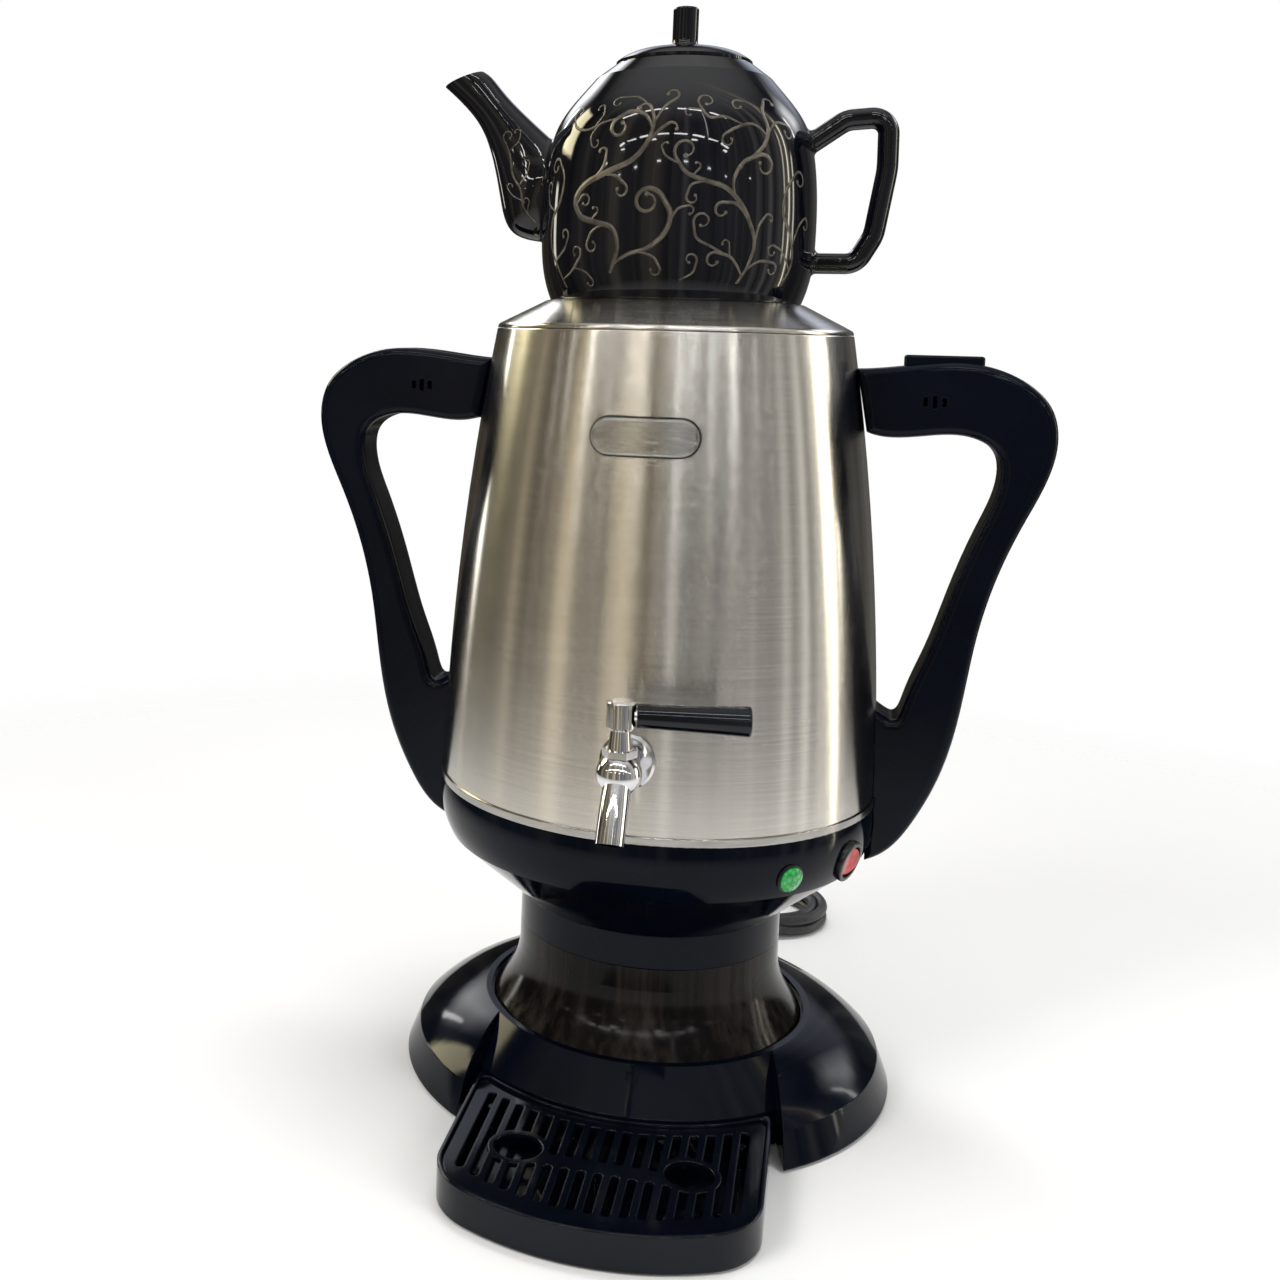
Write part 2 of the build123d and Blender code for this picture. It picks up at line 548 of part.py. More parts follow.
def body_face(gap):
    """The body's outline to the right of the axis as a face, with a gap around it."""
    levels = [neck_top_z + bowl_ridge_rise - 20, bowl_top_z - bowl_belly_drop]
    points = [(bowl_belly_radius + gap, levels[0]), (bowl_belly_radius + gap, bowl_top_z - gap),
              (jacket_radius + band_proud + gap, bowl_top_z - gap), (jacket_radius + band_proud + gap, jacket_z + gap)]
    steps = 8
    for i in range(steps + 1):
        z = jacket_z + gap + (jacket_height - gap) * i / steps
        points.append((jacket_r(z) + gap, z))
    points += [(0, seam_z), (0, levels[0])]
    return Plane.XZ * make_face(Polyline(*points, close=True))


def arm_top(x):
    """Height of the right handle's upper outline at a place along X."""
    outer = Spline(*[grip_point(*p) for p in grip_outer])
    low, high = 0.0, 0.4
    for _ in range(30):
        share = (low + high) / 2
        low, high = (share, high) if (outer @ share).X < x else (low, share)
    return (outer @ low).Z


def button_box(grow, z_low, z_high):
    """Upright block with rounded ends round the button's place."""
    x = jacket_radius + button_out
    outline = RectangleRounded(button_size[0] + 2 * grow, button_size[1] + 2 * grow, radius=button_corner + grow)
    return Pos(x, 0, z_low) * extrude(outline, amount=z_high - z_low)


def across(x, z, y_low, y_high, radius):
    """Cylinder along Y between two depths."""
    return Pos(x, (y_low + y_high) / 2, z) * Rot(90, 0, 0) * Cylinder(radius, y_high - y_low)


def grip_half(side):
    """Front (side -1) or rear (side 1) half of the right handle, before its openings are cut."""
    half = grip_depth / 2
    away = (0, side, 0)
    rim = extrude(grip_face(), amount=half, dir=away)
    rim = fillet(rim.faces().sort_by(Axis.Y)[0 if side < 0 else -1].edges(), grip_round)
    room = grip_face(grip_wall) - body_face(joint_gap + grip_wall)
    shell = rim - extrude(room, amount=half - grip_wall, dir=away)
    for x, z in grip_screw_places():
        ends = sorted((0, side * (half - 1)))
        shell += across(x, z, *ends, grip_boss_radius) & rim
    return shell - body_envelope(joint_gap)


def grip_screw_places():
    """Where the screws cross the right handle."""
    points = [grip_point(*p) for p in grip_screws]
    return [(p[0], p[2]) for p in points]


def make_handles():
    half = grip_depth / 2
    blind, head_seat = half - grip_wall - 1.5, half - screw_head
    front_half, rear_half, turn = grip_half(-1), grip_half(1), Rot(0, 0, 180)
    halves = {1: [front_half, rear_half], -1: [turn * rear_half, turn * front_half]}
    fixings = []
    for hand, (front, rear) in halves.items():
        for x, z in grip_screw_places():
            front -= across(hand * x, z, -blind, 1, grip_screw_radius + running_gap)
            rear -= across(hand * x, z, -1, half, grip_screw_radius + running_gap)
            rear -= across(hand * x, z, head_seat, half + 1, grip_head_radius + joint_gap)
            fixings.append(across(hand * x, z, 1 - blind, head_seat, grip_screw_radius)
                           + across(hand * x, z, head_seat, half - joint_gap, grip_head_radius))
        vent_z = grip_point(vent_out, vent_share)[2]
        for i, length in enumerate(vent_lengths):
            x = hand * (jacket_radius + vent_out + (i - 1) * vent_pitch)
            mouth = Plane(origin=(x, -half - 1, vent_z), x_dir=(1, 0, 0), z_dir=(0, 1, 0))
            front -= extrude(mouth * SlotOverall(length, vent_width, rotation=90), amount=grip_wall + 3)
        halves[hand] = [front, rear]
    ceiling = arm_top(jacket_radius + button_out)
    slot = button_box(seat_gap, ceiling - grip_wall - 8, ceiling + 10)
    nodes = {"left_handle_front": halves[-1][0], "left_handle_rear": halves[-1][1],
             "right_handle_front": halves[1][0] - slot, "right_handle_rear": halves[1][1] - slot,
             "handle_screws": group(fixings)}
    nodes.update(make_button(ceiling))
    return nodes


def make_button(ceiling):
    """The push button on the right handle and the spring under it."""
    low = arm_top(jacket_radius + button_out - button_size[0] / 2 - button_flange) - grip_wall - seat_gap
    button = button_box(0, low - button_flange, ceiling + button_proud)
    button = fillet(button.faces().sort_by(Axis.Z)[-1].edges(), 1.4)
    button += button_box(button_flange, low - button_flange, low)
    button -= button_box(-button_skin, low - button_flange - 1, ceiling + button_proud - button_cap)
    x = jacket_radius + button_out
    seat = grip_point(*grip_inner[0])[2] + grip_wall + 1.2
    top = ceiling + button_proud - button_cap - seat_gap
    height = top - seat - spring_wire * 2
    coil = Helix(pitch=height / spring_turns, height=height, radius=spring_radius)
    wire = Plane(origin=coil @ 0, z_dir=coil % 0) * Circle(spring_wire)
    spring = Pos(x, 0, seat + spring_wire) * sweep(wire, coil)
    return {"handle_button": button, "button_spring": spring}


# ---- badge ------------------------------------------------------------------
def make_badge():
    z = jacket_z + badge_share * jacket_height
    plane = Plane(origin=(0, -jacket_radius + 40, z), x_dir=(1, 0, 0), z_dir=(0, -1, 0))
    plate = extrude(plane * SlotOverall(*badge_size), amount=60)
    low, high = z - badge_size[1], z + badge_size[1]
    skin = jacket_core(badge_thick + 0.05, low, high) - jacket_core(0.05, low - 1, high + 1)
    field = extrude(plane * SlotOverall(badge_size[0] - 2 * badge_rim, badge_size[1] - 2 * badge_rim), amount=60)
    field &= jacket_core(badge_thick + 1, low, high) - jacket_core(badge_thick + 0.05 - badge_recess, low - 1, high + 1)
    return (plate & skin) - field


# ---- tap --------------------------------------------------------------------
def tap_plane():
    """Plane on the jacket at the tap's axis: z points out of the tank, y up."""
    z, lean = jacket_z + tap_share * jacket_height, radians(tap_tilt)
    return Plane(origin=(0, -jacket_r(z), z), x_dir=(1, 0, 0), z_dir=(0, -cos(lean), sin(lean)))


def tap_centre():
    """Centre of the tap's ball."""
    return tap_plane().from_local_coords(Vector(0, 0, tap_reach))


def make_tap():
    plane, ball = tap_plane(), tap_centre()
    tank_inner = jacket_sheet + tank_air_gap + tank_sheet
    rosette = plane * (Pos(0, 0, 0) * Cylinder(rosette_radius, 2 * rosette_thick))
    rosette = chamfer(rosette.edges().sort_by(Axis.Y)[0], 1.2)
    rosette -= jacket_core(joint_gap, jacket_z, seam_z) + tap_hole(shank_radius, joint_gap)

    inward = tank_inner + washer_thick + nut_height + 3
    shank = plane * (Pos(0, 0, (tap_reach - inward) / 2) * Cylinder(shank_radius, tap_reach + inward))
    collar_z = ball.Z + tap_collar_rise
    neck_top = collar_z + tap_collar_height + tap_neck_height
    upright = disc(tap_neck_radius + 1.2, ball.Z, collar_z, 0, ball.Y)
    hexagon = extrude(RegularPolygon(tap_collar_flats / 2, 6, major_radius=False), amount=tap_collar_height)
    upright += Pos(0, ball.Y, collar_z) * hexagon
    cone = Pos(0, ball.Y, collar_z + tap_collar_height + tap_neck_height / 2)
    upright += cone * Cone(tap_collar_flats / 2 - 1.6, tap_neck_radius, tap_neck_height)
    nozzle, bore = nozzle_form(0), nozzle_form(nozzle_wall)
    body = shank + Pos(ball) * Sphere(tap_ball_radius) + upright + nozzle
    body -= bore + plane * (Pos(0, 0, (tap_reach - inward - 2) / 2) * Cylinder(shank_bore, tap_reach + inward + 2))
    body -= disc(spindle_radius + running_gap, ball.Z - 4, neck_top + 1, 0, ball.Y)

    cap_z = neck_top + seat_gap
    cap = disc(cap_radius, cap_z, cap_z + cap_height, 0, ball.Y)
    cap = fillet(cap.edges().sort_by(Axis.Z)[-1], 1.0)
    cap = chamfer(cap.edges().sort_by(Axis.Z)[0], 1.4)
    for x, y in around(cap_flutes, cap_radius + 0.4, 180 / cap_flutes):
        cap -= disc(cap_flute_radius, cap_z - 1, cap_z + cap_height - 2.4, x, ball.Y + y)
    lever_z = cap_z + cap_height * 0.5
    turn = Pos(0, ball.Y, 0) * Rot(0, 0, lever_rest_angle) * Pos(0, -ball.Y, 0)
    spindle = cap + disc(spindle_radius, ball.Z - 3.6, cap_z + 1, 0, ball.Y)
    spindle += Pos(cap_radius + lever_stub / 2 - 1, ball.Y, lever_z) * Rot(0, 90, 0) * Cylinder(2.6, lever_stub)
    grip = Pos(cap_radius + 0.4 + lever_length / 2, ball.Y, lever_z) * Rot(0, 90, 0) * Cone(
        lever_root_radius, lever_end_radius, lever_length)
    grip = fillet(grip.edges().sort_by(Axis.X)[-1], 1.2)
    grip -= Pos(cap_radius + lever_stub / 2 - 1, ball.Y, lever_z) * Rot(0, 90, 0) * Cylinder(2.65, lever_stub + 0.4)

    inner_face = jacket_core(-(tank_inner + joint_gap / 2), jacket_z + tank_floor_rise + tank_corner, seam_z - 5)
    washer = plane * (Pos(0, 0, -tank_inner - washer_thick / 2) * Cylinder(washer_radius, washer_thick + 1))
    washer = (washer & inner_face) - tap_hole(shank_radius, 0.02)
    seat = -tank_inner - washer_thick - 0.5 - joint_gap / 2
    hexagon = extrude(RegularPolygon(nut_flats / 2, 6, major_radius=False), amount=nut_height)
    nut = plane * (Pos(0, 0, seat - nut_height) * hexagon)
    nut -= tap_hole(shank_radius, 0.02)
    return {"tap_rosette": rosette, "tap_body": body, "tap_spindle": turn * spindle, "tap_lever_grip": turn * grip,
            "tap_washer": washer, "tap_nut": nut}


def nozzle_form(inset):
    """The tap's spout, lofted from the ball to its mouth, moved in by inset."""
    ball = tap_centre()
    stations = []
    for share, lean, radius in ((0.12, 35, nozzle_root_radius), (0.5, 30, nozzle_root_radius + 0.3),
                                (1.0, 24, nozzle_mouth_radius)):
        end = inset and (0.5 if share == 1.0 else 0)
        a = radians(lean)
        origin = (0, ball.Y - nozzle_reach * share - end * sin(a), ball.Z - nozzle_drop * share ** 1.15 - end * cos(a))
        stations.append(Plane(origin=origin, x_dir=(1, 0, 0), z_dir=(0, -sin(a), -cos(a))) * Circle(radius - inset))
    return loft(stations)


# ---- heating and electrics --------------------------------------------------
def make_heating():
    plate = disc(heater_radius, heater_top_z - heater_thick, heater_top_z)
    under = heater_top_z - heater_thick - joint_gap
    sweep_angle = 360 - element_gap_angle
    ring_z = under - element_tube
    ring = Pos(0, 0, ring_z) * Rot(0, 0, -90 + element_gap_angle / 2) * revolve(
        Plane.XZ * Pos(element_radius, 0) * Circle(element_tube), Axis.Z, revolution_arc=sweep_angle)
    for side in (-1, 1):
        a = radians(-90 + side * (element_gap_angle / 2 + 3))
        ring += disc(cold_pin_radius, ring_z - element_tube - cold_pin_drop, ring_z, element_radius * cos(a),
                     element_radius * sin(a))
    stat = disc(thermostat_radius, under - thermostat_height, under)
    stat += disc(thermostat_radius + 2.5, under - 2, under)
    width, depth, height = cutout_size
    fuse = block(-width / 2, width / 2, 16, 16 + depth, under - height, under)
    length, depth, height = terminal_size
    floor_z = neck_top_z + 3.0 + joint_gap
    terminal = block(-length / 2, length / 2, 14, 14 + depth, floor_z, floor_z + height)
    for i in range(5):
        x = -length / 2 + length * (i + 0.5) / 5
        terminal -= disc(1.8, floor_z + height - 5, floor_z + height + 1, x, 14 + depth / 2)
    return {"heater_plate": plate, "heating_element": ring, "thermostat": stat, "thermal_cutout": fuse,
            "terminal_block": terminal}


def make_lamp():
    plane = on_bowl(lamp_angle, lamp_drop)
    clear = bowl_core(-joint_gap, neck_top_z)
    bezel_radius = lamp_radius + lamp_bezel
    bezel = Pos(0, 0, -lamp_bezel_thick) * Cylinder(bezel_radius, 4 * lamp_bezel_thick)
    bezel = plane * bezel - clear
    sleeve = Cylinder(lamp_body_radius, lamp_flush + lamp_body_depth)
    holder = plane * (Pos(0, 0, (lamp_flush - lamp_body_depth) / 2) * sleeve)
    pocket_radius, pocket = lamp_body_radius - 1.2, 16.0
    holder = bezel + holder - plane * (Pos(0, 0, 3) * Cylinder(pocket_radius, pocket))
    seat = lamp_bezel_thick + joint_gap
    curve = (lamp_radius ** 2 + (lamp_proud - lamp_rim) ** 2) / (2 * (lamp_proud - lamp_rim))
    dome = Pos(0, 0, seat + lamp_proud - curve) * Sphere(curve)
    lens = dome & (Pos(0, 0, seat + lamp_proud / 2) * Cylinder(lamp_radius, lamp_proud))
    lens += Pos(0, 0, seat - 2.6) * Cylinder(pocket_radius - running_gap, 5.6)
    lens = plane * lens
    return {"lamp_holder": holder, "lamp_lens": lens}


def rocker_pivot():
    """Place of the rocker's pin: its plane on the housing."""
    plane = on_bowl(switch_angle, switch_drop)
    return plane, -1.2


def make_switch():
    plane, pin_z = rocker_pivot()
    clear = bowl_core(-joint_gap, neck_top_z)
    bezel = Pos(0, 0, (switch_bezel_thick - 2) / 2) * Cylinder(switch_radius, switch_bezel_thick + 2)
    bezel = fillet(bezel.edges().sort_by(Axis.Z)[-1], 1.0)
    case = Pos(0, 0, -switch_body_depth / 2 + 0.6) * Cylinder(switch_body_radius, switch_body_depth + 1.2)
    cavity_depth = 6.5
    cavity = Pos(0, 0, (6 - cavity_depth) / 2) * Cylinder(rocker_hole, 6 + cavity_depth)
    pins = Pos(0, 0, pin_z) * Rot(90, 0, 0) * Cylinder(rocker_pin_radius + running_gap, 2 * rocker_hole + 1.6)
    housing = (plane * bezel - clear) + plane * case - plane * (cavity + pins)
    tilt = rocker_swing / 2
    base = Pos(0, 0, -1.0) * Cylinder(rocker_radius, 5.2)
    wedge = 2 * rocker_radius
    for side in (-1, 1):
        cut = Pos(side * wedge / 2, 0, wedge / 2) * Box(wedge, wedge * 2, wedge)
        base -= Pos(0, 0, rocker_valley) * Rot(0, -side * tilt, 0) * cut
    base += Pos(0, 0, pin_z) * Rot(90, 0, 0) * Cylinder(rocker_pin_radius, 2 * rocker_hole + 1.2)
    rocker = plane * (Pos(0, 0, pin_z) * Rot(0, -tilt, 0) * Pos(0, 0, -pin_z) * base)
    return {"switch_housing": housing, "switch_rocker": rocker}


def gland_plane():
    """Plane of the cord's exit: z points out of the housing."""
    z, t = bowl_top_z - gland_drop, radians(gland_angle)
    return Plane(origin=(bowl_r(z) * sin(t), -bowl_r(z) * cos(t), z), x_dir=(cos(t), sin(t), 0),
                 z_dir=(sin(t), -cos(t), 0))


def make_gland():
    plane, reach = gland_plane(), relief_length
    flange = Pos(0, 0, 0) * Cylinder(relief_root_radius + 2.5, 4.0)
    flange = plane * flange - bowl_core(-joint_gap, neck_top_z)
    collar = Pos(0, 0, -3) * Cylinder(relief_root_radius, 12)
    taper = Pos(0, 0, reach / 2) * Cone(relief_root_radius, cord_diameter / 2 + 1.0, reach)
    bore = Pos(0, 0, reach / 2) * Cylinder(cord_diameter / 2, reach + 20)
    return flange + plane * (collar + taper) - plane * bore


# ---- cord -------------------------------------------------------------------
def cord_tube(name, route):
    """A cord's tube: straight runs joined by arcs as large as the runs allow."""
    points = [Vector(*p) for p in route]
    runs = [b - a for a, b in zip(points, points[1:])]
    radii = []
    for before, after in zip(runs, runs[1:]):
        turn = radians(before.get_angle(after))
        radii.append(0.45 * min(before.length, after.length) / tan(turn / 2))
    path = FilletPolyline(*points, radius=radii)
    tube_solid = sweep(Plane(origin=path @ 0, z_dir=path % 0) * Circle(cord_diameter / 2), path)
    section = pi * cord_diameter ** 2 / 4
    print(name, "radii", [round(r, 1) for r in radii], "length", round(path.length, 1), "volume ratio",
          round(tube_solid.volume / (section * path.length), 4))
    return tube_solid


def make_cord():
    x, y = coil_centre
    section = Plane.XZ * Pos(coil_radius, coil_band / 2 + 0.1) * RectangleRounded(coil_band, coil_band, coil_round)
    coil = Pos(x, y, 0) * revolve(section, Axis.Z)
    mouth = gland_plane().origin
    start = (0, mouth.Y + relief_length, mouth.Z)
    lead = cord_tube("power_cord", (start,) + cord_route)
    tail = cord_tube("cord_tail", tail_route)
    end = Vector(*tail_route[-1])
    plug_plane = Plane(origin=end, z_dir=(-1, 0, 0), x_dir=(0, 1, 0))
    shoulder = plug_length - plug_head
    sleeve = ThreePointArc(at(plug_tail_radius, 0), at(plug_radius * 0.62, shoulder * 0.62), at(plug_radius, shoulder))
    face = Line((plug_radius, 0, plug_length), (0, 0, plug_length))
    body = plug_plane * turned(Line((0, 0, 0), (plug_tail_radius, 0, 0)), sleeve, Line(sleeve @ 1, face @ 0), face,
                               Line(face @ 1, (0, 0, 0)))
    body = fillet(body.edges().sort_by(Axis.X)[0], 1.5)
    pins = []
    for side in (-1, 1):
        place = Pos(0, side * plug_pin_pitch / 2, plug_length + plug_pin_length / 2)
        pins.append(plug_plane * (place * Cylinder(plug_pin_radius, plug_pin_length)))
    return {"power_cord": lead - coil, "cord_tail": tail - coil, "cord_coil": coil, "power_plug": body,
            "plug_pins": group(pins)}


# ---- drip tray --------------------------------------------------------------
def tray_face(inset):
    """The tray's plan, moved in by inset."""
    half, back = tray_half_width - inset, apron_radius + seat_gap + 0.3 + inset
    front_centre = -tray_reach + tray_front_radius
    front_y = front_centre - sqrt((tray_front_radius - inset) ** 2 - half ** 2)
    back_y = -sqrt(back ** 2 - half ** 2)
    front = ThreePointArc((-half, front_y, 0), (0, front_centre - tray_front_radius + inset, 0), (half, front_y, 0))
    rear = ThreePointArc((half, back_y, 0), (0, -back, 0), (-half, back_y, 0))
    face = make_face([front, Line(front @ 1, rear @ 0), rear, Line(rear @ 1, front @ 0)])
    corners = face.vertices().group_by(Axis.Y)
    face = fillet(corners[0], tray_corner - inset)
    return fillet(face.vertices().group_by(Axis.Y)[-1], 3.0)


def make_tray():
    outer = Pos(0, 0, tray_lift) * extrude(tray_face(0), amount=tray_top - tray_lift)
    outer = fillet(outer.faces().sort_by(Axis.Z)[-1].edges(), 0.9)
    inner = Pos(0, 0, tray_lift + tray_wall) * extrude(tray_face(tray_wall), amount=tray_top)
    tray = outer - inner
    grille_top = tray_top - tray_rim_drop
    under = grille_top - grille_thick - seat_gap
    for x, y in tray_posts:
        tray += disc(tray_post_radius, tray_lift + 1, under, x, y)
    grille = Pos(0, 0, grille_top - grille_thick) * extrude(tray_face(tray_wall + seat_gap), amount=grille_thick)
    through = grille_top + 20
    limit = extrude(tray_face(tray_wall + slot_edge), amount=through)
    for x, y in finger_places():
        limit -= disc(finger_radius + finger_rim, -1, through + 1, x, y)
    least_slot = slot_width ** 2 * through    # a shorter remnant beside a finger hole isn't cut
    for x, near, far in slot_places():
        slot = Pos(x, -(near + far) / 2, 0) * extrude(SlotOverall(far - near, slot_width, rotation=90), amount=through)
        for piece in (slot & limit).solids():
            if piece.volume > least_slot:
                grille -= piece
    for x, y in finger_places():
        grille -= disc(finger_radius, 0, through, x, y)
    return {"drip_tray": tray, "tray_grille": grille}


def slot_places():
    """The grille's slots: x, and how far in front of the axis each starts and ends."""
    places = []
    front_centre = tray_reach - tray_front_radius
    for i in range(-slot_columns, slot_columns + 1):
        x = i * slot_pitch
        back = sqrt(slot_back_radius ** 2 - x ** 2)
        front = front_centre + sqrt((tray_front_radius - slot_front_margin) ** 2 - x ** 2)
        if abs(i) >= long_from:
            places.append((x, back, front))
        else:
            places += [(x, back, slot_bar[0]), (x, slot_bar[1], front)]
    return places


def finger_places():
    """Centres of the two lifting holes in the grille."""
    return [(side * finger_offset, -finger_line) for side in (-1, 1)]


# ---- output -----------------------------------------------------------------
def build_nodes():
    nodes = {"base_shell": make_foot()}
    nodes.update(make_floor_parts())
    nodes.update(make_neck())
    nodes["bowl"] = make_bowl()
    for make in (make_tank, make_lid, make_handles, make_tap, make_heating, make_lamp, make_switch, make_tray,
                 make_cord):
        nodes.update(make())
    nodes["badge"] = make_badge()
    nodes["cord_gland"] = make_gland()
    nodes["teapot"] = make_teapot()
    nodes["teapot_lid"] = make_pot_lid()
    return nodes


def main():
    os.makedirs("parts", exist_ok=True)
    for name, shape in build_nodes().items():
        shape.label = name
        export_step(shape, f"parts/{name}.step")
        print(name, len(shape.solids()), round(shape.volume, 1))


if __name__ == "__main__":
    main()
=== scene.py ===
import math

import bmesh
import bpy
from mathutils import Matrix, Vector
from mathutils.bvhtree import BVHTree


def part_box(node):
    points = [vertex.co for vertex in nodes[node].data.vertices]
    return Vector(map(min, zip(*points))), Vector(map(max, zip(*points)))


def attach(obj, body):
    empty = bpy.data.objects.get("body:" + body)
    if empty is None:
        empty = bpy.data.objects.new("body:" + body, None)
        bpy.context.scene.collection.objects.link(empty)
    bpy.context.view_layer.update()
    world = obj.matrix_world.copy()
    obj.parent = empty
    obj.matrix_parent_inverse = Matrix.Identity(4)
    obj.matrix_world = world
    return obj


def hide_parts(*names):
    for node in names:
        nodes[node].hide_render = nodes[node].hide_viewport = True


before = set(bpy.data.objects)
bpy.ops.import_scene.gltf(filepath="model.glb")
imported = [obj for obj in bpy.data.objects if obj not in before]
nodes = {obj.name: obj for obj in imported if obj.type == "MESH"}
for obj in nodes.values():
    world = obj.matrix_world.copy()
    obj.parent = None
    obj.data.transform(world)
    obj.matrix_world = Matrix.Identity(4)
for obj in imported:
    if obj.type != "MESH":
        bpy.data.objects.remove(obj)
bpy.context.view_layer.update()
bpy.context.scene.view_settings.view_transform = "Standard"
print("frame loaded:", len(nodes), "nodes")


def newMaterial(name):
    # an empty material with one shader
    mat = bpy.data.materials.new(name)
    mat.use_nodes = True
    tree = mat.node_tree
    tree.nodes.clear()
    shader = tree.nodes.new("ShaderNodeBsdfPrincipled")
    out = tree.nodes.new("ShaderNodeOutputMaterial")
    tree.links.new(shader.outputs["BSDF"], out.inputs["Surface"])
    return mat, tree, shader


def node(tree, kind, **values):
    made = tree.nodes.new("ShaderNode" + kind)
    for key, value in values.items():
        if hasattr(made, key):
            setattr(made, key, value)
        else:
            made.inputs[key].default_value = value
    return made


def link(tree, source, target):
    tree.links.new(source, target)


def noise(tree, vector, scale, detail=3.0, rough=0.5):
    made = node(tree, "TexNoise", Scale=scale, Detail=detail, Roughness=rough)
    if vector is not None:
        tree.links.new(vector, made.inputs["Vector"])
    return made.outputs["Fac"]


def place(tree, scale=(1, 1, 1), turn=(0, 0, 0), shift=(0, 0, 0)):
    # object coordinates, stretched, turned or moved for one pattern
    coords = node(tree, "TexCoord")
    mapping = node(tree, "Mapping", Scale=scale, Rotation=turn, Location=shift)
    tree.links.new(coords.outputs["Object"], mapping.inputs["Vector"])
    return mapping.outputs["Vector"]


def spread(tree, value, low, high, fromLow=0.3, fromHigh=0.7):
    # maps a 0-1 pattern to a range of numbers
    made = tree.nodes.new("ShaderNodeMapRange")
    made.inputs["From Min"].default_value = fromLow
    made.inputs["From Max"].default_value = fromHigh
    made.inputs["To Min"].default_value = low
    made.inputs["To Max"].default_value = high
    tree.links.new(value, made.inputs["Value"])
    return made.outputs["Result"]


def blendColours(tree, value, first, second):
    made = tree.nodes.new("ShaderNodeMix")
    made.data_type = "RGBA"
    made.inputs["A"].default_value = (*first, 1)
    made.inputs["B"].default_value = (*second, 1)
    tree.links.new(value, made.inputs["Factor"])
    return made.outputs["Result"]


def bump(tree, shader, height, strength, distance, rounding=0):
    made = tree.nodes.new("ShaderNodeBump")
    if rounding:
        # softens the moulding's edges so that they catch the light
        edges = node(tree, "Bevel", Radius=rounding)
        edges.samples = 6
        link(tree, edges.outputs["Normal"], made.inputs["Normal"])
    made.inputs["Strength"].default_value = strength
    made.inputs["Distance"].default_value = distance
    tree.links.new(height, made.inputs["Height"])
    tree.links.new(made.outputs["Normal"], shader.inputs["Normal"])


def paint(tree, shader, mask, first, second):
    # the finish's colour, from its first tone to its second as the mask rises
    link(tree, blendColours(tree, mask, first, second), shader.inputs["Base Color"])


def moulded(name, look):
    # smooth moulded plastic: faint cloudiness, handling marks and a slight ripple
    cloudScale = look.get("clouds", 18)
    smearScale = cloudScale * 2.3
    mat, tree, shader = newMaterial(name)
    cloud = noise(tree, place(tree), cloudScale, detail=5, rough=0.6)
    paint(tree, shader, spread(tree, cloud, 0, 1), look["deep"], look["lift"])
    smearPlace = place(tree, scale=(1, 1, 0.35), turn=(0.4, 0.2, 0))
    smear = noise(tree, smearPlace, smearScale, detail=4, rough=0.55)
    link(tree, spread(tree, smear, *look["shine"]), shader.inputs["Roughness"])
    shader.inputs["Specular IOR Level"].default_value = look.get("gleam", 0.4)
    ripples = noise(tree, place(tree), look.get("ripples", 90), detail=2, rough=0.5)
    bump(tree, shader, ripples, look["ripple"], 0.0006, look.get("rounding", 0))
    return mat


def smokyFinish():
    # the pedestal: deep smoke with fine upright streaks, their lighter brown tone a painted sheen
    look = {"deep": (0.0035, 0.003, 0.003), "sheenStreak": (0.022, 0.017, 0.014), "shine": (0.09, 0.2),
            "gleam": 0.11, "fine": (210, 0.035), "broad": (26, 0.05), "edge": (0.2, 0.42), "relief": 0.04}
    mat, tree, shader = newMaterial("smokyPedestal")
    fineScale, fineStretch = look["fine"]
    broadScale, broadStretch = look["broad"]
    streaks = noise(tree, place(tree, scale=(1, 1, fineStretch)), fineScale, detail=4, rough=0.6)
    broad = noise(tree, place(tree, scale=(1, 1, broadStretch)), broadScale, detail=3, rough=0.5)
    both = node(tree, "Math", operation="MULTIPLY")
    link(tree, streaks, both.inputs[0])
    link(tree, broad, both.inputs[1])
    # where both noises rise the colour turns a lighter brown: a painted sheen
    paint(tree, shader, spread(tree, both.outputs[0], 0, 1, *look["edge"]), look["deep"], look["sheenStreak"])
    link(tree, spread(tree, streaks, *look["shine"]), shader.inputs["Roughness"])
    shader.inputs["Specular IOR Level"].default_value = look["gleam"]
    bump(tree, shader, broad, look["relief"], 0.001)
    return mat


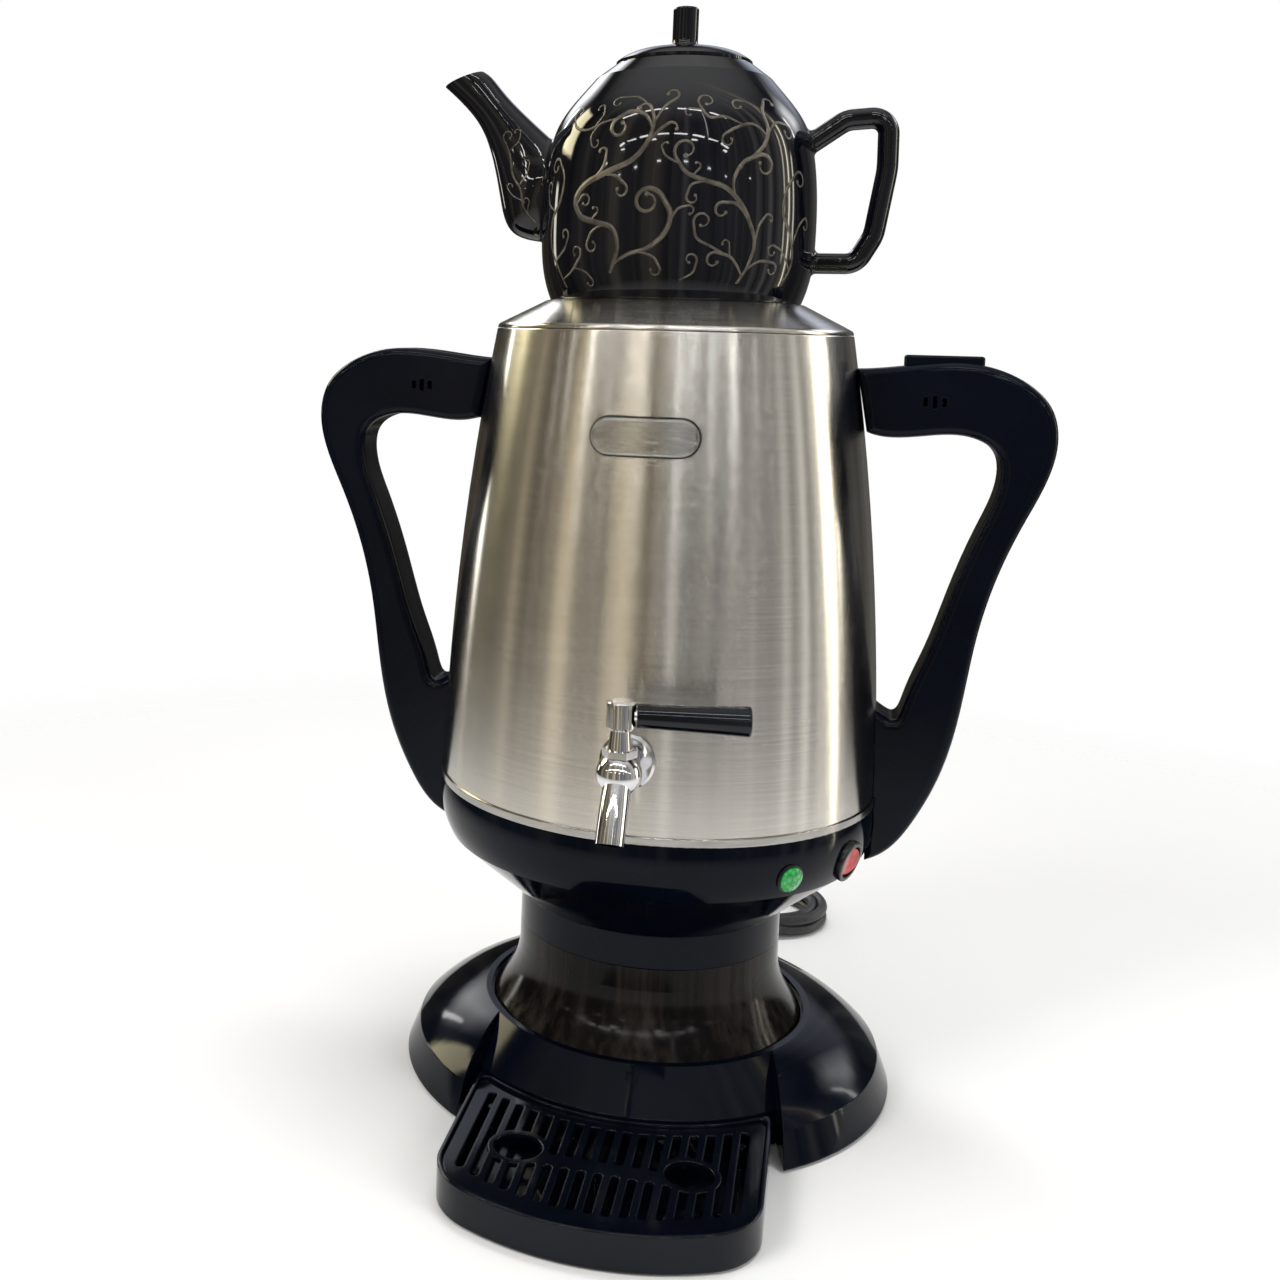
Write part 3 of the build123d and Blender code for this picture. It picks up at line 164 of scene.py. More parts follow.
def brushedFinish(name, look):
    # steel with long faint lines that run round the axis, so that highlights stretch upright
    fineLook = {"stretch": look["stretch"] * 2.6, "lines": look["lines"] * 1.7, "weight": 0.55}
    mat, tree, shader = newMaterial(name)
    lines = noise(tree, place(tree, scale=(1, 1, look["stretch"])), look["lines"], detail=4, rough=0.6)
    finePlace = place(tree, scale=(1, 1, fineLook["stretch"]), shift=(0.3, 0.1, 0.7))
    fine = noise(tree, finePlace, fineLook["lines"], detail=3, rough=0.6)
    cloud = noise(tree, place(tree), 9, detail=3, rough=0.5)
    both = node(tree, "Math", operation="MULTIPLY_ADD")
    link(tree, fine, both.inputs[0])
    both.inputs[1].default_value = fineLook["weight"]
    link(tree, lines, both.inputs[2])
    paint(tree, shader, spread(tree, both.outputs[0], 0, 1, 0.6, 0.95), look["dark"], look["light"])
    rough = node(tree, "Math", operation="ADD")
    link(tree, spread(tree, fine, *look["rough"]), rough.inputs[0])
    link(tree, spread(tree, cloud, -0.015, 0.02), rough.inputs[1])
    link(tree, rough.outputs[0], shader.inputs["Roughness"])
    shader.inputs["Metallic"].default_value = 1.0
    shader.inputs["Anisotropic"].default_value = look["grain"]
    shader.inputs["Anisotropic Rotation"].default_value = 0.25    # a quarter turn from the radial way
    tangent = node(tree, "Tangent", direction_type="RADIAL", axis="Z")
    link(tree, tangent.outputs["Tangent"], shader.inputs["Tangent"])
    bump(tree, shader, fine, look["relief"], 0.0001)
    return mat


def metalFinish(name, look):
    # bright or plain metal with faint polishing marks
    mat, tree, shader = newMaterial(name)
    marksPlace = place(tree, scale=(1, 1, look.get("stretch", 1)))
    marks = noise(tree, marksPlace, look["scale"], detail=4, rough=0.6)
    paint(tree, shader, spread(tree, marks, 0, 1), look["dark"], look["light"])
    link(tree, spread(tree, marks, *look["rough"]), shader.inputs["Roughness"])
    shader.inputs["Metallic"].default_value = 1.0
    bump(tree, shader, marks, look.get("relief", 0.02), 0.0003)
    return mat


def glazeFinish():
    # black porcelain under a clear, slightly wavy glaze
    look = {"deep": (0.0012, 0.0016, 0.0035), "lift": (0.003, 0.0036, 0.007), "rough": (0.03, 0.07),
            "clouds": 22, "waves": 30, "gleam": 0.25, "coat": 0.35, "coatRough": 0.02}
    mat, tree, shader = newMaterial("blackGlaze")
    cloud = noise(tree, place(tree), look["clouds"], detail=4, rough=0.55)
    paint(tree, shader, spread(tree, cloud, 0, 1), look["deep"], look["lift"])
    link(tree, spread(tree, cloud, *look["rough"]), shader.inputs["Roughness"])
    shader.inputs["Specular IOR Level"].default_value = look["gleam"]
    shader.inputs["Coat Weight"].default_value = look["coat"]
    shader.inputs["Coat Roughness"].default_value = look["coatRough"]
    bump(tree, shader, noise(tree, place(tree), look["waves"], detail=2, rough=0.5), 0.06, 0.001)
    return mat


def vineFinish():
    # the printed scrolls: taupe silver, worn thin in places
    look = {"dark": (0.07, 0.064, 0.054), "light": (0.24, 0.215, 0.175), "rough": (0.32, 0.5),
            "wear": 120, "metal": 0.75}
    mat, tree, shader = newMaterial("scrollPrint")
    wear = noise(tree, place(tree), look["wear"], detail=4, rough=0.65)
    paint(tree, shader, spread(tree, wear, 0, 1), look["dark"], look["light"])
    link(tree, spread(tree, wear, *look["rough"]), shader.inputs["Roughness"])
    shader.inputs["Metallic"].default_value = look["metal"]
    bump(tree, shader, wear, 0.1, 0.0003)
    return mat


def lensFinish(name, look):
    # coloured clear plastic over a glowing lamp
    mat, tree, shader = newMaterial(name)
    cells = node(tree, "TexVoronoi", feature="F1")
    cells.inputs["Scale"].default_value = look["cells"]
    link(tree, place(tree), cells.inputs["Vector"])
    distance = cells.outputs["Distance"]
    spot = spread(tree, distance, 0, 1, 0.1, 0.8)
    paint(tree, shader, spot, look["bright"], look["deep"])
    link(tree, blendColours(tree, spot, look["bright"], look["deep"]), shader.inputs["Emission Color"])
    shader.inputs["Emission Strength"].default_value = look["glow"]
    link(tree, spread(tree, distance, 0.08, 0.18, 0, 1), shader.inputs["Roughness"])
    shader.inputs["Coat Weight"].default_value = 0.25
    bump(tree, shader, distance, look["relief"], 0.001)
    return mat


def rubberFinish(name, look):
    # grainy rubber, or unglazed ceramic
    mat, tree, shader = newMaterial(name)
    grain = noise(tree, place(tree), look["scale"], detail=5, rough=0.65)
    paint(tree, shader, spread(tree, grain, 0, 1), look["dark"], look["light"])
    link(tree, spread(tree, grain, *look["rough"]), shader.inputs["Roughness"])
    bump(tree, shader, grain, look["relief"], 0.0006)
    return mat


blackPlastic = moulded("glossBlackPlastic", {
    "deep": (0.0008, 0.0016, 0.0045), "lift": (0.0022, 0.0036, 0.009), "shine": (0.05, 0.11),
    "ripple": 0.04, "gleam": 0.12, "rounding": 0.0009})
trayBlack = moulded("trayBlack", {
    "deep": (0.0012, 0.0019, 0.0045), "lift": (0.003, 0.0044, 0.009), "shine": (0.06, 0.13),
    "clouds": 24, "ripples": 140, "ripple": 0.03, "gleam": 0.22, "rounding": 0.0012})
leverBlack = moulded("leverBlack", {
    "deep": (0.001, 0.0015, 0.003), "lift": (0.003, 0.004, 0.007), "shine": (0.07, 0.13),
    "clouds": 40, "ripples": 200, "ripple": 0.02, "gleam": 0.32})
trimBlack = moulded("trimBlack", {
    "deep": (0.008, 0.008, 0.009), "lift": (0.02, 0.02, 0.022), "shine": (0.22, 0.38),
    "clouds": 60, "ripples": 400, "ripple": 0.06})
smoke = smokyFinish()
jacketSteel = brushedFinish("brushedJacket", {
    "dark": (0.64, 0.61, 0.565), "light": (0.72, 0.695, 0.65), "lines": 14, "stretch": 90,
    "rough": (0.19, 0.24), "grain": 0.9, "relief": 0.035})
lidSteel = brushedFinish("brushedLid", {
    "dark": (0.60, 0.58, 0.54), "light": (0.70, 0.68, 0.64), "lines": 14, "stretch": 80,
    "rough": (0.19, 0.24), "grain": 0.8, "relief": 0.03})
bandSteel = metalFinish("polishedBand", {
    "dark": (0.34, 0.33, 0.31), "light": (0.48, 0.47, 0.45), "scale": 60, "rough": (0.14, 0.24),
    "stretch": 8})
chrome = metalFinish("tapChrome", {
    "dark": (0.62, 0.62, 0.64), "light": (0.72, 0.72, 0.74), "scale": 90, "rough": (0.04, 0.09),
    "relief": 0.01})
satinSilver = metalFinish("badgeSilver", {
    "dark": (0.50, 0.50, 0.49), "light": (0.60, 0.60, 0.58), "scale": 160, "rough": (0.20, 0.28),
    "stretch": 6, "relief": 0.03})
plainSteel = metalFinish("plainSteel", {
    "dark": (0.45, 0.44, 0.43), "light": (0.62, 0.61, 0.60), "scale": 80, "rough": (0.3, 0.45)})
brassPin = metalFinish("pinBrass", {
    "dark": (0.62, 0.48, 0.24), "light": (0.78, 0.64, 0.36), "scale": 120, "rough": (0.2, 0.32)})
glaze = glazeFinish()
vinePrint = vineFinish()
greenLens = lensFinish("lampGreen", {
    "bright": (0.03, 0.42, 0.09), "deep": (0.004, 0.16, 0.03), "cells": 420, "glow": 0.22, "relief": 0.5})
redLens = lensFinish("rockerRed", {
    "bright": (0.62, 0.018, 0.012), "deep": (0.30, 0.006, 0.005), "cells": 300, "glow": 0.06,
    "relief": 0.1})
cordBlack = rubberFinish("cordBlack", {
    "dark": (0.010, 0.010, 0.011), "light": (0.03, 0.03, 0.032), "scale": 240, "rough": (0.35, 0.5),
    "relief": 0.06})
footRubber = rubberFinish("footRubber", {
    "dark": (0.012, 0.012, 0.012), "light": (0.04, 0.04, 0.04), "scale": 300, "rough": (0.7, 0.9),
    "relief": 0.2})
sealRubber = rubberFinish("sealRubber", {
    "dark": (0.55, 0.55, 0.52), "light": (0.72, 0.72, 0.68), "scale": 150, "rough": (0.45, 0.6),
    "relief": 0.08})
ceramic = rubberFinish("creamCeramic", {
    "dark": (0.62, 0.59, 0.52), "light": (0.78, 0.76, 0.70), "scale": 180, "rough": (0.4, 0.6),
    "relief": 0.06})
print("finishes made")

finishOf = {
    blackPlastic: ["base_shell", "bowl", "left_handle_front", "left_handle_rear", "right_handle_front",
                   "right_handle_rear", "handle_button"],
    trayBlack: ["drip_tray", "tray_grille"],
    smoke: ["neck_skirt"],
    jacketSteel: ["tank_shell"],
    lidSteel: ["tank_lid"],
    bandSteel: ["trim_band"],
    chrome: ["tap_body", "tap_rosette", "tap_spindle"],
    satinSilver: ["badge"],
    plainSteel: ["inner_tank", "support_ring", "floor_screws", "neck_bolts", "ledge_screws", "lid_skirt",
                 "handle_screws", "button_spring", "heating_element", "heater_plate", "thermostat"],
    brassPin: ["tap_nut", "plug_pins"],
    glaze: ["teapot", "teapot_lid"],
    greenLens: ["lamp_lens"],
    redLens: ["switch_rocker"],
    leverBlack: ["tap_lever_grip"],
    trimBlack: ["lamp_holder", "switch_housing", "cord_gland", "base_floor"],
    cordBlack: ["power_plug", "power_cord", "cord_coil", "cord_tail"],
    footRubber: ["rubber_feet"],
    sealRubber: ["lid_seal", "tap_washer"],
    ceramic: ["thermal_cutout", "terminal_block"],
}
for finish, names in finishOf.items():
    for name in names:
        nodes[name].data.materials.clear()
        nodes[name].data.materials.append(finish)

# scrolling vines printed on the pot: paths in degrees from the front and millimetres up the wall
vines = {
    "tallStem": {"via": [(-21, 12), (-17.5, 24), (-20, 33.5), (-28, 36.5), (-36, 40), (-39, 48),
                         (-34, 55), (-24, 60), (-13, 65.5), (-7, 74), (-5, 84), (-7, 92)],
                 "width": 3.9, "curl": (1, 4.5, 2.2, 190)},
    "shoulderCurl": {"on": "tallStem", "via": [(-5.4, 80), (-9, 87.5), (-16, 90), (-22, 86.5)],
                     "width": 2.8, "curl": (1, 6.5, 2.8, 330)},
    "shoulderTwig": {"on": "shoulderCurl", "via": [(-21, 87), (-29, 85), (-37, 82), (-45, 84),
                                                   (-50, 90)], "width": 1.8, "curl": (-1, 4.5, 2, 280)},
    "twigHook": {"on": "shoulderTwig", "via": [(-33, 83), (-30, 89), (-31, 94)],
                 "width": 1.3, "curl": (1, 2.6, 1.4, 220)},
    "twigDrop": {"on": "shoulderTwig", "via": [(-30, 85), (-34, 79), (-33, 74)],
                 "width": 1.3, "curl": (1, 3, 1.5, 240)},
    "crownTwig": {"on": "tallStem", "via": [(-5, 83), (-1, 92), (4, 97)],
                  "width": 2.0, "curl": (1, 4.2, 2, 260)},
    "crownLeft": {"on": "tallStem", "via": [(-6, 90), (-14, 98), (-24, 99)],
                  "width": 1.4, "curl": (1, 3.6, 1.8, 260)},
    "sideBud": {"on": "tallStem", "via": [(-8, 72), (-3, 79), (1, 83)],
                "width": 2.3, "curl": (-1, 3.4, 2, 170)},
    "bendUp": {"on": "tallStem", "via": [(-30, 57.5), (-25.5, 63), (-24.5, 70)],
               "width": 2.0, "curl": (1, 2.8, 1.6, 200)},
    "bendUnder": {"on": "tallStem", "via": [(-27, 59), (-20, 58.5), (-15, 54)],
                  "width": 2.0, "curl": (-1, 4.2, 2, 280)},
    "bendInner": {"on": "tallStem", "via": [(-38.6, 44), (-36, 49)],
                  "width": 1.6, "curl": (-1, 4.2, 2, 300)},
    "lowCurl": {"on": "tallStem", "via": [(-23, 35.5), (-29, 32.5), (-32, 27)],
                "width": 1.7, "curl": (1, 4, 2, 300)},
    "lowBud": {"on": "tallStem", "via": [(-30, 37), (-27, 41)],
               "width": 1.4, "curl": (1, 2.2, 1.4, 200)},
    "greatSpiral": {"on": "tallStem", "via": [(-20, 16), (-13, 21), (-5, 24), (1.5, 31), (3.5, 40),
                                              (0, 48.5)], "width": 3.2, "curl": (1, 8.5, 3.6, 440)},
    "spiralFoot": {"on": "greatSpiral", "via": [(-10, 22), (-3, 20), (0, 15)],
                   "width": 1.8, "curl": (-1, 3.2, 1.8, 250)},
    "spiralBud": {"on": "greatSpiral", "via": [(3, 35), (6, 42), (10, 44)],
                  "width": 1.6, "curl": (-1, 2.8, 1.6, 210)},
    "rightStem": {"via": [(32, 8), (36, 17), (38, 28), (35, 38), (31, 46), (24.5, 53), (16, 56),
                          (9, 59.5), (5, 66)], "width": 3.0, "curl": (-1, 7, 3, 330)},
    "rightInner": {"on": "rightStem", "via": [(35.6, 36), (30, 45), (24, 46)],
                   "width": 2.1, "curl": (1, 4.6, 2.2, 270)},
    "rightTall": {"on": "rightStem", "via": [(29, 49), (28, 57), (32, 65), (39, 69)],
                  "width": 2.6, "curl": (-1, 7, 3, 340)},
    "rightBranch": {"on": "rightStem", "via": [(38, 26), (39.5, 35), (43, 41)],
                    "width": 1.8, "curl": (-1, 3, 1.7, 210)},
    "rightDrop": {"on": "rightStem", "via": [(18, 55.5), (11.5, 54), (9.5, 49)],
                  "width": 1.7, "curl": (1, 3.4, 1.8, 270)},
    "rightBud": {"on": "rightStem", "via": [(12, 58), (14.5, 62)],
                 "width": 1.3, "curl": (1, 2, 1.3, 180)},
    "stemLeaf": {"on": "rightStem", "via": [(6, 63), (1, 67), (-1, 71)],
                 "width": 1.4, "curl": (-1, 2.6, 1.5, 160)},
    "footArch": {"on": "rightStem", "via": [(34, 11), (28.5, 20), (22, 22.5)],
                 "width": 1.9, "curl": (1, 4.6, 2.2, 290)},
    "footRise": {"on": "footArch", "via": [(29, 19), (20, 25), (14, 29), (12.5, 36)],
                 "width": 1.8, "curl": (-1, 5, 2.4, 320)},
    "footBud": {"on": "footArch", "via": [(28, 20.5), (27, 27)],
                "width": 1.2, "curl": (1, 2.2, 1.3, 210)},
    "footRight": {"on": "rightStem", "via": [(35, 14), (41, 19), (48, 19)],
                  "width": 1.9, "curl": (-1, 4, 2, 270)},
    "edgeStem": {"on": "rightTall", "via": [(35, 67.5), (42, 74), (45, 82), (44, 91), (47, 98)],
                 "width": 3.0, "curl": (-1, 4, 2, 200)},
    "edgeLeft": {"on": "edgeStem", "via": [(44, 78), (38, 84), (30, 82), (24, 78)],
                 "width": 1.9, "curl": (1, 3.8, 1.9, 280)},
    "edgeRight": {"on": "edgeStem", "via": [(44, 79), (50, 86), (57, 86)],
                  "width": 2.0, "curl": (-1, 5, 2.3, 300)},
    "edgeUp": {"on": "edgeStem", "via": [(44.6, 88), (39, 95), (32, 97)],
               "width": 1.6, "curl": (1, 3.6, 1.8, 280)},
    "browScroll": {"on": "edgeLeft", "via": [(33, 83.6), (25, 87), (18, 86.5), (14, 93)],
                   "width": 1.9, "curl": (-1, 5, 2.3, 330)},
    "browBud": {"on": "browScroll", "via": [(15, 89.5), (10, 91)],
                "width": 1.3, "curl": (1, 2.6, 1.5, 240)},
    "sideStem": {"via": [(56, 8), (60, 20), (57, 33), (52, 43), (54, 54), (60, 62)],
                 "width": 2.6, "curl": (-1, 5.5, 2.5, 320)},
    "sideCurl": {"on": "sideStem", "via": [(59, 27), (63, 37), (67, 41)],
                 "width": 1.9, "curl": (-1, 4, 2, 290)},
    "sideBack": {"on": "sideStem", "via": [(59, 15), (53, 24), (48, 27)],
                 "width": 1.6, "curl": (1, 3.4, 1.8, 290)},
    "leftStem": {"via": [(-47, 5), (-52, 16), (-57, 27), (-56, 39), (-50, 48), (-48, 59), (-53, 68)],
                 "width": 2.6, "curl": (1, 5.5, 2.4, 330)},
    "leftCurl": {"on": "leftStem", "via": [(-53.5, 42), (-60, 47), (-63, 54)],
                 "width": 1.8, "curl": (-1, 3.8, 2, 290)},
    "leftFoot": {"on": "leftStem", "via": [(-53, 18), (-46, 24), (-43, 30)],
                 "width": 1.8, "curl": (1, 3.6, 1.8, 280)},
    "leftSprig": {"on": "leftStem", "via": [(-49, 9), (-42, 13), (-36, 20)],
                  "width": 1.6, "curl": (1, 4, 2, 290)},
    "sprigBud": {"on": "leftSprig", "via": [(-40, 14.5), (-34, 13), (-30, 9)],
                 "width": 1.3, "curl": (-1, 2.6, 1.5, 230)},
    "loneCurl": {"via": [(8, 9), (13, 12.5), (14.5, 18)], "width": 1.5, "curl": (1, 3.4, 1.8, 280)},
}

# curls on the spout's flanks, in millimetres out from the axis and up from the foot
spoutVines = {
    "spoutStem": {"via": [(72, 40), (78, 47), (80, 56), (85, 64), (87, 74), (91, 83)],
                  "width": 1.7, "curl": (1, 3.6, 1.6, 280)},
    "spoutInner": {"on": "spoutStem", "via": [(80, 58), (77, 64), (76, 70)],
                   "width": 1.2, "curl": (-1, 2.6, 1.4, 250)},
    "spoutOuter": {"on": "spoutStem", "via": [(79, 50), (84, 53), (88, 57)],
                   "width": 1.2, "curl": (1, 2.4, 1.3, 240)},
    "spoutLow": {"on": "spoutStem", "via": [(76, 44), (75, 50)],
                 "width": 1.1, "curl": (-1, 2.2, 1.2, 240)},
    "spoutTop": {"on": "spoutStem", "via": [(87.5, 76), (83, 81), (82, 86)],
                 "width": 1.0, "curl": (-1, 2.2, 1.2, 230)},
}


def smoothLine(places, lead):
    # a line through every place that leaves a parent along the parent's own way
    perSpan = 20
    ends = [lead or tuple(2 * a - b for a, b in zip(places[0], places[1]))] + places
    ends.append(tuple(2 * a - b for a, b in zip(places[-1], places[-2])))
    line = []
    for p0, p1, p2, p3 in zip(ends, ends[1:], ends[2:], ends[3:]):
        for i in range(perSpan):
            t = i / perSpan
            line.append(tuple(0.5 * (2 * b + (c - a) * t + (2 * a - 5 * b + 4 * c - d) * t * t
                                     + (3 * b - a - 3 * c + d) * t ** 3)
                              for a, b, c, d in zip(p0, p1, p2, p3)))
    return line + [places[-1]]


# how every vine grows, in millimetres: its steps, how far back its parent's way is read, the print's
# breadth, the dot at the curl's end, and how thin the ends and how full the middle are
growth = {"step": 0.55, "lookBack": 12, "angleWeight": 1.2, "breadth": 0.80, "dotBase": 0.35,
          "dotShare": 0.38, "thin": 0.24, "full": 0.76, "swellStart": 0.1, "swellPower": 0.8, "tip": 0.4,
          "tipWidth": 0.3}


def curlOn(walked, curl, radiusAt):
    # goes on from the walked line in a bend that tightens towards its end
    side, wide, tight, sweep = curl
    step = growth["step"]
    (a0, h0), (a1, h1) = walked[-2:]
    heading = math.atan2(h1 - h0, (a1 - a0) * math.radians(radiusAt(h1)))
    firstBend, lastBend = 1 / wide, 1 / tight
    count = round(math.radians(sweep) * 2 / (firstBend + lastBend) / step)
    angle, height = walked[-1]
    for i in range(count):
        heading += side * (firstBend + (lastBend - firstBend) * (i + 0.5) / count) * step
        angle += math.cos(heading) * step / math.radians(radiusAt(height))
        height += math.sin(heading) * step
        walked.append((angle, height))


def growVine(vine, grown, radiusAt):
    # even steps of (degrees, height, width), in millimetres on the wall
    step = growth["step"]
    lead = None
    places = list(vine["via"])
    if "on" in vine:
        parent = grown[vine["on"]]
        nearest = min(range(len(parent)),
                      key=lambda i: math.hypot((parent[i][0] - places[0][0]) * growth["angleWeight"],
                                               parent[i][1] - places[0][1]))
        places[0] = parent[nearest][:2]
        if nearest > 0:
            lead = parent[max(nearest - growth["lookBack"], 0)][:2]
    line = smoothLine(places, lead)
    walked = [line[0]]
    left = step
    for (a0, h0), (a1, h1) in zip(line, line[1:]):
        perDegree = math.radians(radiusAt(h0))
        long = math.hypot((a1 - a0) * perDegree, h1 - h0)
        while left <= long:
            share = left / long
            walked.append((a0 + (a1 - a0) * share, h0 + (h1 - h0) * share))
            left += step
        left -= long
    curlOn(walked, vine["curl"], radiusAt)
    # swells in the middle, thins towards the curl and ends in a dot
    total = len(walked) - 1
    broad = vine["width"] * growth["breadth"]
    dot = growth["dotBase"] + broad * growth["dotShare"]
    begin = growth["swellStart"]
    steps = []
    for i, (angle, height) in enumerate(walked):
        swell = math.sin(math.pi * min(1, i / total * (1 - begin) + begin)) ** growth["swellPower"]
        width = broad * (growth["thin"] + growth["full"] * swell)
        toEnd = (total - i) * step
        if toEnd < 2 * dot:
            width = max(width, 2 * math.sqrt(max(0, dot ** 2 - (toEnd - dot) ** 2)))
        if toEnd < growth["tip"]:
            width = growth["tipWidth"]
        steps.append((angle, height, width))
    return steps


def potWall():
    # reads the pot's outer wall from its solid, and gives the rays that meet it: a start and a
    # direction for an angle and a height up the wall, or for a place on the spout's flank
    reading = {"levels": 112, "rise": 0.001, "clear": 0.0005, "wallStart": 0.1, "flankStart": 0.06}
    pot = nodes["teapot"]
    tree = BVHTree.FromPolygons([pot.matrix_world @ v.co for v in pot.data.vertices],
                                [p.vertices[:] for p in pot.data.polygons])
    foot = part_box("teapot")[0][2]
    levels = [(0.0, foot + reading["clear"])]
    radii = []
    for i in range(reading["levels"]):
        level = foot + reading["clear"] + i * reading["rise"]
        radii.append(-tree.ray_cast(Vector((0, -0.2, level)), Vector((0, 1, 0)))[0].y)
        if i:
            levels.append((levels[-1][0] + math.hypot(1, (radii[-1] - radii[-2]) * 1000), level))

    def between(height, values):
        for i in range(1, len(levels)):
            if levels[i][0] >= height:
                share = (height - levels[i - 1][0]) / (levels[i][0] - levels[i - 1][0])
                return values[i - 1] + (values[i] - values[i - 1]) * share
        return values[-1]

    def radiusAt(height):
        return between(height, radii) * 1000

    def wall(angle, height):
        turn = math.radians(angle)
        away = Vector((math.sin(turn), -math.cos(turn), 0))
        level = between(height, [level for _, level in levels])
        return away * reading["wallStart"] + Vector((0, 0, level)), -away

    def flank(side, out, height):
        # millimetres out from the axis and up from the foot, seen along Y
        start = Vector((-out / 1000, side * reading["flankStart"], foot + height / 1000))
        return start, Vector((0, -side, 0))

    return radiusAt, wall, flank


def layingTree():
    # a path of rays' starts drops onto another piece's skin and becomes a round bead or a flat ridge
    # there; its points say where the ray aims, half the width and how high the crest stands
    tree = bpy.data.node_groups.new("layOnSkin", "GeometryNodeTree")
    tree.interface.new_socket("Geometry", in_out="OUTPUT", socket_type="NodeSocketGeometry")
    for name, kind in (("Geometry", "Geometry"), ("Skin", "Object"), ("Sides", "Int"),
                       ("Roundness", "Float"), ("Edge", "Float"), ("Keel", "Float"),
                       ("Finish", "Material")):
        tree.interface.new_socket(name, in_out="INPUT", socket_type="NodeSocket" + kind)

    def add(kind, sources, **settings):
        # every source is another node's output or a plain value
        made = tree.nodes.new(kind)
        for key, value in settings.items():
            setattr(made, key, value)
        for key, source in sources.items():
            if isinstance(source, bpy.types.NodeSocket):
                tree.links.new(source, made.inputs[key])
            else:
                made.inputs[key].default_value = source
        return made.outputs

    def read(name, kind):
        return add("GeometryNodeInputNamedAttribute", {"Name": name}, data_type=kind)["Attribute"]

    def keep(geometry, name, kind, value):
        return add("GeometryNodeStoreNamedAttribute", {"Geometry": geometry, "Name": name, "Value": value},
                   data_type=kind, domain="POINT")["Geometry"]

    given = add("NodeGroupInput", {})
    skin = add("GeometryNodeObjectInfo", {"Object": given["Skin"]}, transform_space="RELATIVE")["Geometry"]
    aim = read("aim", "FLOAT_VECTOR")
    hit = add("GeometryNodeRaycast", {"Target Geometry": skin, "Ray Direction": aim})
    facing = add("ShaderNodeVectorMath", {0: hit["Hit Normal"], 1: aim}, operation="DOT_PRODUCT")["Value"]
    sign = add("ShaderNodeMath", {0: facing}, operation="SIGN")["Value"]
    turned = add("ShaderNodeMath", {0: sign, 1: -1.0}, operation="MULTIPLY")["Value"]
    outward = add("ShaderNodeVectorMath", {0: hit["Hit Normal"], "Scale": turned},
                  operation="SCALE")["Vector"]
    path = keep(given["Geometry"], "outward", "FLOAT_VECTOR", outward)
    path = add("GeometryNodeSetPosition", {"Geometry": path, "Position": hit["Hit Position"]})["Geometry"]
    path = add("GeometryNodeMeshToCurve", {"Mesh": path})["Curve"]
    path = add("GeometryNodeSetCurveNormal", {"Curve": path, "Normal": read("outward", "FLOAT_VECTOR")},
               mode="FREE")["Curve"]

    # the profile's X points away from the skin, and is kept before the profile is flattened
    profile = add("GeometryNodeCurvePrimitiveCircle",
                  {"Resolution": given["Sides"], "Radius": 1.0})["Curve"]
    spot = add("GeometryNodeInputPosition", {})["Position"]
    profile = keep(profile, "rise", "FLOAT", add("ShaderNodeSeparateXYZ", {0: spot})["X"])
    shape = add("ShaderNodeCombineXYZ", {"X": given["Roundness"], "Y": 1.0, "Z": 1.0})["Vector"]
    profile = add("GeometryNodeTransform", {"Geometry": profile, "Scale": shape})["Geometry"]
    # a profile that runs backwards, with its faces flipped, sets which way the faces split into triangles
    profile = add("GeometryNodeReverseCurve", {"Curve": profile})["Curve"]
    body = add("GeometryNodeCurveToMesh", {"Curve": path, "Profile Curve": profile,
                                           "Scale": read("half", "FLOAT"), "Fill Caps": True})["Mesh"]
    body = add("GeometryNodeFlipFaces", {"Mesh": body})["Mesh"]
    # the profile's points rise to the crest or sink to the keel by their share
    rise = read("rise", "FLOAT")
    crest = add("ShaderNodeMapRange", {"Value": rise, "To Min": given["Edge"],
                                       "To Max": read("crest", "FLOAT")})
    keel = add("ShaderNodeMapRange", {"Value": rise, "From Min": 0.0, "From Max": -1.0, "To Min": 0.0,
                                      "To Max": given["Keel"]})
    height = add("ShaderNodeMath", {0: crest["Result"], 1: keel["Result"]}, operation="SUBTRACT")["Value"]
    offset = add("ShaderNodeVectorMath", {0: read("outward", "FLOAT_VECTOR"), "Scale": height},
                 operation="SCALE")["Vector"]
    body = add("GeometryNodeSetPosition", {"Geometry": body, "Offset": offset})["Geometry"]
    body = add("GeometryNodeSetShadeSmooth", {"Geometry": body, "Shade Smooth": True})["Geometry"]
    body = add("GeometryNodeRealizeInstances", {"Geometry": body})["Geometry"]
    body = add("GeometryNodeSetMaterial", {"Geometry": body, "Material": given["Finish"]})["Geometry"]
    add("NodeGroupOutput", {"Geometry": body})
    return tree


laying = layingTree()


